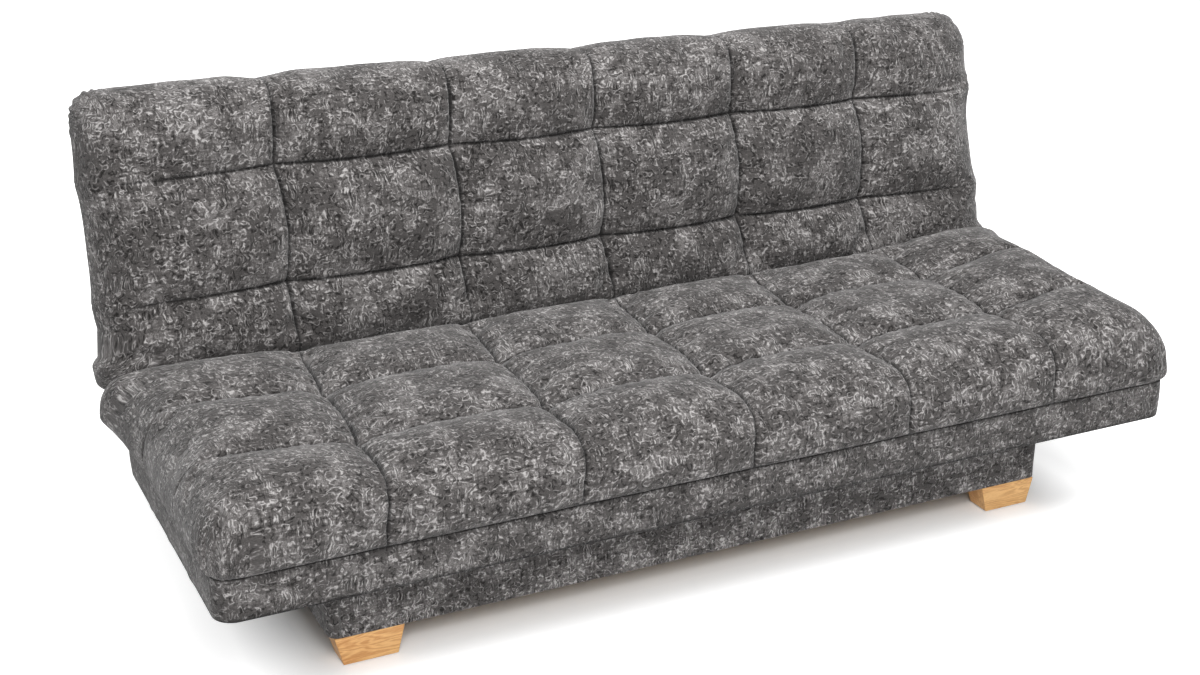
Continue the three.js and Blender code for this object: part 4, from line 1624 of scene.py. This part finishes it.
    def _swelling(self, across: AxisLines, outward: AxisLines) -> np.ndarray:
        """Simulates the cover on a coarse grid and carries its movement to the fine one.

        Args:
            across: the fine lines along the sofa.
            outward: the fine lines outwards.

        Returns:
            How far each point of the fine grid moves.
        """
        coarse_x, coarse_s = self.lines(self.coarse, self.coarse_rings, (0.0,), self.plan.columns,
                                        self.plan.rows)
        start = self._sewn(coarse_x, coarse_s)
        rows, columns = start.shape[:2]
        column, row = self.plan.distances(coarse_x.place[None, :], coarse_s.place[:, None])
        column, row = np.broadcast_arrays(column, row)
        on_column, on_row = column < SAME_PLACE, row < SAME_PLACE
        row_hold = np.round(self.seam_hold * self.plan.hold(coarse_x.place) * (coarse_x.out == 0), 2)
        held = np.where(on_row, row_hold[None, :], 0.0)
        held[on_column] = self.seam_hold
        held[on_column & on_row] = 1.0
        held[start[..., 2] < self.foot + self.foot_hold] = 1.0
        taut = np.round(np.clip(down_edge(coarse_x, coarse_s) * self.taut_rate, 0, 1), 1)
        press = ClothPress(slack=self.slack)
        move = press.swell(start.reshape(-1, 3), self.faces(rows, columns), held.ravel(), taut.ravel())
        furthest = np.linalg.norm(move, axis=-1).max() / MILLIMETRE
        log.info("%s: swelled by %.1f mm at the most", self.name, furthest)
        weights_x = resample(coarse_x.place, self.plan.columns, across.place)
        weights_s = resample(coarse_s.place, self.plan.rows, outward.place)
        return np.einsum("ri,ijk,cj->rck", weights_s, move.reshape(start.shape), weights_x, optimize=True)

    def _stitched(self, skin: np.ndarray, across: AxisLines,
                  outward: AxisLines) -> tuple[np.ndarray, np.ndarray]:
        """Presses the seams' grooves into the skin, with puckers beside them and folds at the tufts.

        Args:
            skin: the swelled skin.
            across: its lines along the sofa.
            outward: its lines outwards.

        Returns:
            The finished skin, and the painted shade at each point, in the seams' grooves and in the crease at
            the foot.
        """
        along, out = across.place[None, :], outward.place[:, None]
        column, row = self.plan.distances(along, out)
        drawn = self.pucker_draw
        beside_column = ripple(along * drawn, out, self.pucker_size, self.seed)
        beside_row = ripple(along, out * drawn, self.pucker_size, self.seed + 1)
        beside_row = self.plan.fade(along, 2.0) * beside_row
        lift = self.pucker * beside_column * np.exp(-column / self.pucker_size)
        lift = lift + self.pucker * beside_row * np.exp(-row / self.pucker_size)
        lift = lift + self.wave * ripple(along, out, self.wave_size, self.seed + 2)
        lift = lift + self._tuft_folds(along, out)
        lift = lift - self.groove_depth * self.plan.nearness(along, out, self.groove_width)
        lift = lift + self._gathers(across, outward) + self._end_folds(skin)
        lift = lift * np.clip((1 - down_edge(across, outward)) / self.lift_fade, 0, 1) * self._open(skin)
        # painted shade in the seams' grooves
        seam = self.seam_shade_share * self.plan.nearness(along, out, self.seam_shade_width)
        # painted shade in the crease where the cover's foot meets the band
        crease_shade = self.crease_shade_share * np.exp(-np.maximum(skin[..., 2] - self.foot, 0) / self.crease_shade_fade)
        return skin + surface_normals(skin) * lift[..., None], np.maximum(seam, crease_shade)

    def _tuft_folds(self, along: np.ndarray, out: np.ndarray) -> np.ndarray:
        """Makes the folds that run out from each tuft.

        Args:
            along: places along the sofa.
            out: places outwards.

        Returns:
            The folds' height at each place.
        """
        draw = np.random.default_rng(SEED + 100 * self.seed)
        total = np.zeros(np.broadcast(along, out).shape)
        for place in self.plan.columns:
            for reach in self.plan.rows:
                distance = np.hypot(along - place, out - reach)
                heading = np.arctan2(out - reach, along - place)
                folds = np.zeros_like(total)
                for _ in range(self.tuft_folds):
                    centre = draw.uniform(-math.pi, math.pi)
                    width = draw.uniform(*self.tuft_widths)
                    height = draw.uniform(*self.tuft_heights) * draw.choice([-1, 1])
                    length = draw.uniform(*self.tuft_lengths)
                    off = np.angle(np.exp(1j * (heading - centre)))
                    folds = folds + height * bell(off, width) * np.exp(-distance / length)
                total = total + self.tuft_rise * folds * np.minimum(1, distance / self.tuft_size)
        return total


# Bands round the frames and the plinth
@dataclass(frozen=True)
class Opening:
    """A slot through a band's wall on the hinge side, for an arm of the hinge."""

    low: float
    high: float
    bottom: float
    top: float


@dataclass(kw_only=True)
class FabricBand:
    """A band of fabric stretched round an oblong with rounded corners, with turned edges."""

    name: str
    space: WingSpace
    finish: Finish
    half_length: float
    near: float
    reach: float
    bottom: float
    top: float
    corner: float
    thickness: float
    edge: float = 0.0024
    bulge: float = 0.0015
    wave: float = 0.0007
    wave_size: float = 0.15
    fine_wave: float = 0.0004
    fine_size: float = 0.03
    # painted shade along the top edge, under the cushion, and along the bottom edge, where the band overhangs
    # the plinth
    crease_shade: float = 0.0
    bottom_shade: float = 0.0
    crease_shade_fade: float = 0.003
    bottom_shade_fade: float = 0.004
    openings: tuple[Opening, ...] = ()
    step: float = 0.009
    corner_points: int = 10
    edge_points: int = 5
    seed: int = 60

    def outline(self) -> tuple[np.ndarray, np.ndarray, np.ndarray]:
        """Draws the oblong, from the hinge side's left end round to the left.

        Returns:
            The centres that the outline turns about, its normals and the lengths along it.
        """
        left, right = -self.half_length + self.corner, self.half_length - self.corner
        low, high = self.near + self.corner, self.reach - self.corner
        marks = sorted({left, right, *(v for hole in self.openings for v in (hole.low, hole.high))})
        far = np.linspace(right, left, max(2, round((right - left) / self.step)))
        side = np.linspace(low, high, max(2, round((high - low) / self.step)))
        arc = np.linspace(0, math.pi / 2, self.corner_points)[1:-1]
        runs = (np.array(divided(marks, self.step)), side, far, side[::-1])
        parts = []
        corners = ((right, low), (right, high), (left, high), (left, low))
        for turn, (run, (x, s)) in enumerate(zip(runs, corners)):
            heading = (turn - 1) * math.pi / 2
            places = (np.full(len(run), x), run) if turn % 2 else (run, np.full(len(run), s))
            parts.append((*places, np.full(len(run), heading)))
            parts.append((np.full(len(arc), x), np.full(len(arc), s), arc + heading))
        x, s, heading = (np.concatenate(part) for part in zip(*parts))
        centre = np.stack([x, s], axis=-1)
        normal = np.stack([np.cos(heading), np.sin(heading)], axis=-1)
        steps = np.linalg.norm(np.diff(centre + self.corner * normal, axis=0), axis=1)
        return centre, normal, np.concatenate([[0.0], np.cumsum(steps)])

    def section(self) -> tuple[np.ndarray, np.ndarray, np.ndarray]:
        """Draws the wall's section: up the outer face, over the top edge, down inside and round below.

        Returns:
            The insets and the heights of its points, and 1 for each that lies on the outer face.
        """
        edge, thickness = self.edge, self.thickness
        marks = {self.bottom + edge, self.top - edge}
        marks = sorted(marks | {v for hole in self.openings for v in (hole.bottom, hole.top)})
        outer = divided(marks, self.step)
        turn = np.linspace(0, math.pi / 2, self.edge_points)[1:-1]
        round_in = edge * (1 - np.cos(turn))
        round_up = edge * np.sin(turn)
        insets = [np.zeros(len(outer)), round_in, [edge, thickness - edge], thickness - round_in[::-1],
                  np.full(len(marks), thickness), thickness - round_in, [thickness - edge, edge],
                  round_in[::-1]]
        heights = [outer, self.top - edge + round_up, [self.top, self.top], self.top - edge + round_up[::-1],
                   marks[::-1], self.bottom + edge - round_up, [self.bottom, self.bottom],
                   self.bottom + edge - round_up[::-1]]
        inset, height = np.concatenate(insets), np.concatenate(heights)
        return inset, height, (np.arange(len(inset)) < len(outer)).astype(float)

    def build(self) -> bpy.types.Object:
        """Builds the band in place.

        Returns:
            The band.
        """
        centre, normal, along = self.outline()
        inset, height, face = self.section()
        share = np.clip((height - self.bottom) / (self.top - self.bottom), 0, 1)
        ripples = ripple(along[None, :], height[:, None] * 0.6, self.wave_size, self.seed)
        out = face[:, None] * (self.bulge * np.sin(math.pi * share)[:, None] + self.wave * ripples)
        weave = ripple(along[None, :], height[:, None] * 0.3, self.fine_size, self.seed + 1)
        away = self.corner - inset[:, None] + out + self.fine_wave * face[:, None] * weave
        flat = centre[None, :, :] + away[..., None] * normal[None, :, :]
        points = np.concatenate([flat, np.broadcast_to(height[:, None, None], (*flat.shape[:2], 1))], axis=-1)
        rows, columns = points.shape[:2]
        world = self.space.world(points.reshape(-1, 3))
        piece = mesh_piece(self.name, world, self._faces(rows, columns), self.finish, self.space.turned())
        places = np.stack(np.broadcast_arrays(along[None, :], height[:, None]), axis=-1)
        # painted shade: darker at the top edge and at the bottom edge
        tone = self.crease_shade * np.exp(-np.maximum(self.top - height, 0) / self.crease_shade_fade)
        tone = tone + self.bottom_shade * np.exp(-np.maximum(height - self.bottom - self.edge, 0) / self.bottom_shade_fade)
        lay_cloth(piece, places.reshape(-1, 2), np.repeat(tone, columns))
        return piece

    def _faces(self, rows: int, columns: int) -> list[Sequence[int]]:
        """Lays the wall's faces, with its openings cut and lined.

        Args:
            rows: how many points the section has.
            columns: how many points the outline has.

        Returns:
            The faces.
        """
        centre, normal, _ = self.outline()
        _, height, _ = self.section()
        number = np.arange(rows * columns).reshape(rows, columns)
        skipped: set[tuple[int, int]] = set()
        lining: list[Sequence[int]] = []
        on_near = np.isclose(normal[:, 1], -1)
        for hole in self.openings:
            first, last = (int(np.flatnonzero(on_near & np.isclose(centre[:, 0], end))[0])
                           for end in (hole.low, hole.high))
            low_outer, low_inner = (int(v) for v in np.flatnonzero(np.isclose(height, hole.bottom)))
            top_outer, top_inner = (int(v) for v in np.flatnonzero(np.isclose(height, hole.top)))
            for column in range(first, last):
                skipped |= {(row, column) for row in range(low_outer, top_outer)}
                skipped |= {(row, column) for row in range(top_inner, low_inner)}
                sill, head = number[[low_outer, low_inner], :], number[[top_inner, top_outer], :]
                for out_in in (sill, head):
                    lining.append([out_in[1, column + 1], out_in[1, column],
                                   out_in[0, column], out_in[0, column + 1]])
            outer = list(range(low_outer, top_outer + 1))
            for rising, column, ends in ((outer, first, (top_inner, low_inner)),
                                         (outer[::-1], last, (low_inner, top_inner))):
                lining.append([*number[rising, column], *number[ends, column]][::-1])
        wall = []
        for row, column in product(range(rows), range(columns)):
            if (row, column) not in skipped:
                up, side = (row + 1) % rows, (column + 1) % columns
                wall.append([number[row, column], number[row, side], number[up, side], number[up, column]])
        return [*wall, *lining]


# Sub-assemblies
@dataclass(frozen=True)
class HardPiece:
    """A piece of the CAD frame that is shown as it is, with its edges eased and a finish of its own."""

    node: str
    finish: Finish
    ease: float = 0.0008
    weld: float = 0.00002
    sharp: float = 25.0

    def dress(self) -> str:
        """Gives the node its finish and eases its edges, without touching its mesh.

        Returns:
            The node's name.
        """
        piece = frame["nodes"][self.node]
        piece.data.materials.clear()
        piece.data.materials.append(self.finish.material())
        if self.ease > 0:
            weld = piece.modifiers.new("weld", "WELD")
            weld.merge_threshold = self.weld
            bevel = piece.modifiers.new("ease", "BEVEL")
            bevel.width = self.ease
            bevel.segments = 2
            bevel.limit_method = "ANGLE"
            bevel.angle_limit = math.radians(self.sharp)
            bevel.harden_normals = True
        return self.node


@dataclass(kw_only=True)
class Wing:
    """One half of the bed: its cushion, the band round its frame, the lining and the frame inside."""

    body: Body
    space: WingSpace
    fabric: Finish
    plan: SeamPlan
    rail_finishes: dict[str, Finish]
    cover: str
    lift_keep: float
    seed: int
    ends_near: tuple[float, float]
    ends_far: tuple[float, float]
    ends_span: tuple[float, float] = (0.8, 0.8)
    far_rise: tuple[float, float] = (0.0, 0.0)
    crown_rise: tuple[float, float] = (0.0, 0.0)
    end_fold: float = 0.0
    pawl_room: float = 0.0

    def extent(self, part: str) -> tuple[np.ndarray, np.ndarray]:
        """Returns the corners of one of the wing's own CAD nodes, in the wing's space."""
        return self.space.extent(f"{self.body.value}_{part}")

    def build(self) -> list[str]:
        """Builds the soft pieces and dresses the hard ones.

        Returns:
            The pieces' names.
        """
        soft = [self._cushion(), self._band(), self._lining()]
        hard = [HardPiece(f"{self.body.value}_{part}", finish) for part, finish in self.rail_finishes.items()]
        return [*soft, *(piece.dress() for piece in hard)]

    def _cushion(self) -> str:
        """Builds the cushion, which is pressed flatter beside the hinge where the other cushion leans on it.

        Returns:
            Its name.
        """
        low, high = self.extent("cushion")
        cushion = TuftedCushion(
            name=f"{self.body.value}_cushion_cover", space=self.space, finish=self.fabric, plan=self.plan,
            half_length=high[0], near=CREASE_INSET, reach=high[1], foot=low[2], crown=high[2],
            fold=MEETING_ANGLE, ends_near=self.ends_near, ends_far=self.ends_far, ends_span=self.ends_span,
            far_rise=self.far_rise, crown_rise=self.crown_rise, end_fold=self.end_fold,
            pawl_room=self.pawl_room, seed=self.seed,
        )
        piece = cushion.build()
        made = stand_for(piece, f"{self.body.value}_cushion", self.body)
        outward = self.space.axes()[1]
        anchor = self.space.world(np.array([[0.0, high[1], 0.0]]))[0]
        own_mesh(piece)
        return made

    def _band(self) -> str:
        """Builds the band round the frame, with slots for the hinge's arms.

        Returns:
            Its name.
        """
        low, high = self.extent("border")
        arm = self.extent("arm_right")[0][0]
        inner, outer = arm - ARM_ROOM, arm + ARM_PLATE + ARM_ROOM
        bottom, top = -ARM_DROP - ARM_DEPTH - ARM_ROOM, -ARM_DROP + ARM_ROOM
        holes = (Opening(-outer, -inner, bottom, top), Opening(inner, outer, bottom, top))
        # the band gets painted shade along its top and bottom edges
        band = FabricBand(
            name=f"{self.body.value}_band", space=self.space, finish=BAND_FABRIC, half_length=high[0],
            near=low[1], reach=high[1], bottom=low[2], top=high[2], corner=BORDER_CORNER,
            thickness=BORDER_THICKNESS, crease_shade=0.9, bottom_shade=0.9, openings=holes, seed=60 + self.seed,
        )
        piece = band.build()
        return stand_for(piece, f"{self.body.value}_border", self.body)

    def _lining(self) -> str:
        """Builds the lining that closes the frame's open side.

        Returns:
            Its name.
        """
        under = self.space.over_turned()
        low, high = under.extent(self.cover)
        rails = self.extent("hinge_rail")[1][1]
        sheet = LiningSheet(
            name=f"{self.body.value}_lining", space=under, finish=LINING, half_length=high[0], near=low[1],
            reach=high[1], foot=low[2], crown=high[2], corner=BORDER_CORNER - BORDER_THICKNESS,
            bays_along=LINING_BAYS, bays_out=((rails, high[1] - (rails - low[1])),),
            sag=0.0 if self.body is Body.SEAT else LINING_SAG,
        )
        piece = sheet.build()
        return stand_for(piece, self.cover, self.body)


@dataclass(kw_only=True)
class Plinth:
    """The upholstered box that the two halves stand on, with its boards inside."""

    space: WingSpace
    boards: dict[str, Finish]

    def build(self) -> list[str]:
        """Builds the plinth's cover and dresses its boards.

        Returns:
            The pieces' names.
        """
        low, high = self.space.extent("plinth_cover")
        # the plinth's band wears the lighter copy of the band's chenille, which is painted light
        band = FabricBand(
            name="plinth_band", space=self.space, finish=PAINTED_LIGHT_PLINTH_FABRIC, half_length=high[0], near=low[1],
            reach=high[1], bottom=low[2], top=high[2], corner=PLINTH_CORNER, thickness=PLINTH_SKIN,
            edge=0.0011, bulge=0.0006, wave=0.0005, seed=90,
        )
        piece = band.build()
        made = stand_for(piece, "plinth_cover", Body.BASE)
        return [made, *(HardPiece(node, finish).dress() for node, finish in self.boards.items())]


@dataclass(frozen=True)
class Foot:
    """A tapered wooden foot with its bolt, its corner block and the felt under it."""

    corner: str

    def build(self) -> list[str]:
        """Dresses the foot and lays its felt.

        Returns:
            The pieces' names.
        """
        return [
            HardPiece(f"foot_{self.corner}", FOOT_WOOD, 0.0016).dress(),
            HardPiece(f"corner_block_{self.corner}", BLOCK_WOOD).dress(),
            HardPiece(f"foot_bolt_{self.corner}", PIN_STEEL, 0.0004).dress(),
            self._felt(),
        ]

    def _felt(self) -> str:
        """Builds the felt pad, which shows its sides and its underside.

        Returns:
            Its name.
        """
        node = f"glide_{self.corner}"
        low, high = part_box(node)
        middle = (low[0] + high[0]) / 2
        space = WingSpace((middle, 0.0, 0.0), 0.0, 1, -1)
        pad = SoftSlab(
            name=f"felt_{self.corner}", space=space, finish=FELT, half_length=high[0] - middle, near=low[1],
            reach=high[1], foot=-high[2], crown=-low[2], corner=0.004, edge_run=0.0007, edge_drop=0.0009,
            fine=0.004,
        )
        piece = pad.build()
        return stand_for(piece, node, Body.BASE)


@dataclass(frozen=True)
class Hinge:
    """The ratchet hinge at one end: bracket, arms, pins, wheel, pawl and spring."""

    side: str

    def build(self) -> list[str]:
        """Dresses the hinge's plates, pins and spring.

        Returns:
            The pieces' names.
        """
        plates = [HardPiece(f"{node}_{self.side}", PLATE_STEEL, 0.0004)
                  for node in ("hinge_bracket", "seat_arm", "back_arm")]
        turned = [HardPiece(f"{node}_{self.side}", PIN_STEEL, 0.0002)
                  for node in ("pivot_pin", "pawl_pin", "pawl", "ratchet_wheel")]
        spring = HardPiece(f"pawl_spring_{self.side}", PIN_STEEL, 0.0)
        return [piece.dress() for piece in (*plates, *turned, spring)]


# Light, floor and camera
@dataclass(frozen=True)
class Lamp:
    """A large soft area lamp that looks at one point."""

    name: str
    place: tuple[float, float, float]
    aim: tuple[float, float, float]
    size: float
    power: float

    def build(self) -> None:
        """Adds the lamp."""
        light = bpy.data.lights.new(self.name, "AREA")
        light.shape = "DISK"
        light.size = self.size
        light.energy = self.power
        lamp = in_scene(self.name, light)
        lamp.location = self.place
        lamp.rotation_euler = (Vector(self.aim) - Vector(self.place)).to_track_quat("-Z", "Y").to_euler()


@dataclass(frozen=True)
class Studio:
    """A pale floor, a white surround and soft light."""

    lamps: tuple[Lamp, ...]
    half: float = 30.0
    ambient: float = 0.20
    # the floor's painted glow: nil in the shade box round the plinth, which paints the sofa's shadow there,
    # rising over a short reach and then to white far out
    painted_light_around: float = 0.66
    painted_shadow_reach: float = 0.14
    far_from: float = 0.8
    far_to: float = 5.0
    shade: tuple[float, float, float] = (0.71, 0.262, 0.0)
    floor_tone: float = 0.8

    def build(self) -> None:
        """Builds the floor, the lamps and the surround."""
        self._floor()
        self._surround()
        for lamp in self.lamps:
            lamp.build()

    def _floor(self) -> None:
        """Lays a floor whose painted glow, seen only by the camera, is nil round the plinth and rises to
        white away from it, so the sofa's shadow there is painted.
        """
        mesh = bpy.data.meshes.new("floor")
        corners = [(x * self.half, y * self.half, 0) for x, y in ((-1, -1), (1, -1), (1, 1), (-1, 1))]
        mesh.from_pydata(corners, [], [(0, 1, 2, 3)])
        floor = in_scene("floor", mesh)
        made = bpy.data.materials.new("floor")
        graph, shader = principled(made)
        shader.inputs["Base Color"].default_value = (*[self.floor_tone] * 3, 1)
        shader.inputs["Roughness"].default_value = 0.9
        shader.inputs["Specular IOR Level"].default_value = 0.1
        shader.inputs["Emission Color"].default_value = WHITE
        # painted shadow: the camera glow grows with the distance from the shade box round the plinth
        place = graph.vector("ABSOLUTE", graph.node("TexCoord").outputs["Object"])
        beyond = graph.vector("MAXIMUM", graph.vector("SUBTRACT", place, self.shade), (0.0, 0.0, 0.0))
        length = graph.node("VectorMath", operation="LENGTH")
        graph.feed(length.inputs[0], beyond)
        away = length.outputs["Value"]
        painted_light = graph.remap(away, 0.0, self.painted_shadow_reach, 0.0, self.painted_light_around)
        far_painted_light = graph.remap(away, self.far_from, self.far_to, 0.0, 1 - self.painted_light_around)
        painted_light = graph.maths("ADD", painted_light, far_painted_light)
        seen = graph.node("LightPath").outputs["Is Camera Ray"]
        graph.feed(shader.inputs["Emission Strength"], graph.maths("MULTIPLY", seen, painted_light))
        mesh.materials.append(made)

    def _surround(self) -> None:
        """Makes the surround white to the camera and in reflections, and dimmer as a light."""
        world = bpy.data.worlds.new("surround")
        graph = fresh_graph(world)
        path = graph.node("LightPath")
        seen = graph.maths("MAXIMUM", path.outputs["Is Camera Ray"], path.outputs["Is Glossy Ray"])
        seen = graph.maths("MAXIMUM", seen, path.outputs["Is Transmission Ray"])
        background = graph.node("Background")
        background.inputs["Color"].default_value = WHITE
        graph.feed(background.inputs["Strength"], graph.blend(seen, self.ambient, 1.0))
        sheet = graph.node("OutputWorld")
        graph.feed(sheet.inputs["Surface"], background.outputs["Background"])
        bpy.context.scene.world = world


@dataclass(frozen=True)
class PhotoCamera:
    """The camera of the photograph."""

    place: tuple[float, float, float] = (-1.452, -2.864, 1.609)
    lens: float = 54.41
    yaw: float = 25.64
    pitch: float = 21.29

    def build(self) -> None:
        """Adds the camera and looks through it."""
        data = bpy.data.cameras.new("photo")
        data.lens = self.lens
        camera = in_scene("photo", data)
        camera.location = self.place
        camera.rotation_euler = Euler((math.radians(90 - self.pitch), 0.0, math.radians(-self.yaw)))
        bpy.context.scene.camera = camera


# The sofa bed
HINGE_JOINT = next(joint for joint in frame["joints"] if joint["name"] == "back_recline")
HINGE_PLACE = tuple(HINGE_JOINT["pos_m"])
UPRIGHT = math.radians(HINGE_JOINT["range_deg"][1])
MEETING_ANGLE = (math.pi - UPRIGHT) / 2
CREASE_INSET = 0.0148
BORDER_CORNER = 0.036
BORDER_THICKNESS = 0.006
PLINTH_CORNER = 0.020
PLINTH_SKIN = 0.0025
ARM_DROP = 0.084
ARM_DEPTH = 0.038
ARM_PLATE = 0.004
ARM_ROOM = 0.002
PAWL_SPAN = 0.030
PAWL_FADE = 0.020
LINING_SAG = 0.0022
LINING_BAYS = ((-0.89, -0.69), (-0.65, -0.02), (0.02, 0.65), (0.69, 0.89))
FRAME_RAILS = ("left_end_rail", "right_end_rail", "left_bearer_rail", "right_bearer_rail", "centre_rail")


def wings() -> list[Wing]:
    """Describes the two halves of the bed.

    Returns:
        The seat and the back.
    """
    rails_seat = {"front_rail": RAIL_WOOD, "hinge_rail": RAIL_WOOD, **dict.fromkeys(FRAME_RAILS, CROSS_WOOD)}
    rails_back = {"top_rail": RAIL_WOOD, "hinge_rail": RAIL_WOOD, **dict.fromkeys(FRAME_RAILS, BLOCK_WOOD)}
    seat_plan = SeamPlan(
        columns=(-0.632, -0.296, 0.022, 0.338, 0.656), rows=(0.2325, 0.460),
        column_bows=(0.003, 0.004, 0.004), row_bow=-0.005, column_lean=(-0.028, 0.042), row_lean=-0.028,
        end_hold=(0.6, 0.0),
    )
    back_plan = SeamPlan(
        columns=(-0.611, -0.272, 0.028, 0.333, 0.628), rows=(0.1696, 0.3785),
        column_bows=(0.005, 0.010, 0.007), row_bow=-0.004, foot_drift=0.020,
    )
    seat = Wing(
        body=Body.SEAT, space=WingSpace(HINGE_PLACE, 0.0, -1), fabric=SEAT_FABRIC, plan=seat_plan,
        rail_finishes={**rails_seat, "slats": SLAT_WOOD}, cover="seat_dust_cover", lift_keep=0.963, seed=1,
        ends_near=(0.034, 0.039), ends_far=(0.000, -0.004), ends_span=(0.40, 0.95), crown_rise=(0.014, 0.024),
        pawl_room=0.0195,
    )
    back = Wing(
        body=Body.BACK, space=WingSpace(HINGE_PLACE, UPRIGHT, 1), fabric=BACK_FABRIC, plan=back_plan,
        rail_finishes={**rails_back, "slats": SLAT_WOOD}, cover="back_rear_cover", lift_keep=0.954, seed=2,
        ends_near=(0.024, 0.004), ends_far=(0.010, -0.016), ends_span=(0.22, 1.1), far_rise=(0.013, -0.004),
        end_fold=0.009,
    )
    return [seat, back]


def plinth() -> Plinth:
    """Returns the plinth."""
    boards = {f"plinth_{part}_board": BOARD_WOOD for part in ("front", "rear", "left", "right")}
    return Plinth(space=WingSpace((0.0, 0.0, 0.0), 0.0, 1), boards={**boards, "plinth_floor": HARDBOARD})


def studio() -> Studio:
    """Describes the light: a large soft key in front, a broad lamp above and a weak one behind.

    Returns:
        The studio.
    """
    key = Lamp("key", (-1.6, -4.4, 3.4), (0.0, 0.0, 0.4), 2.6, 205.0)
    top = Lamp("top", (0.2, -0.9, 4.4), (0.0, 0.0, 0.4), 3.4, 185.0)
    rear = Lamp("rear", (0.6, 4.2, 2.2), (0.0, 0.0, 0.4), 3.0, 75.0)
    return Studio((key, top, rear))


def main() -> None:
    """Builds the sofa bed and its studio."""
    logging.basicConfig(level=logging.INFO, format="%(message)s")
    feet = [Foot(corner) for corner in ("front_left", "front_right", "rear_left", "rear_right")]
    hinges = [Hinge(side) for side in ("left", "right")]
    for assembly in (*wings(), plinth(), *feet, *hinges):
        for name in assembly.build():
            log.info("built %s", name)
    studio().build()
    PhotoCamera().build()
    bpy.context.scene.view_settings.view_transform = "Standard"


if __name__ == "__main__":
    main()
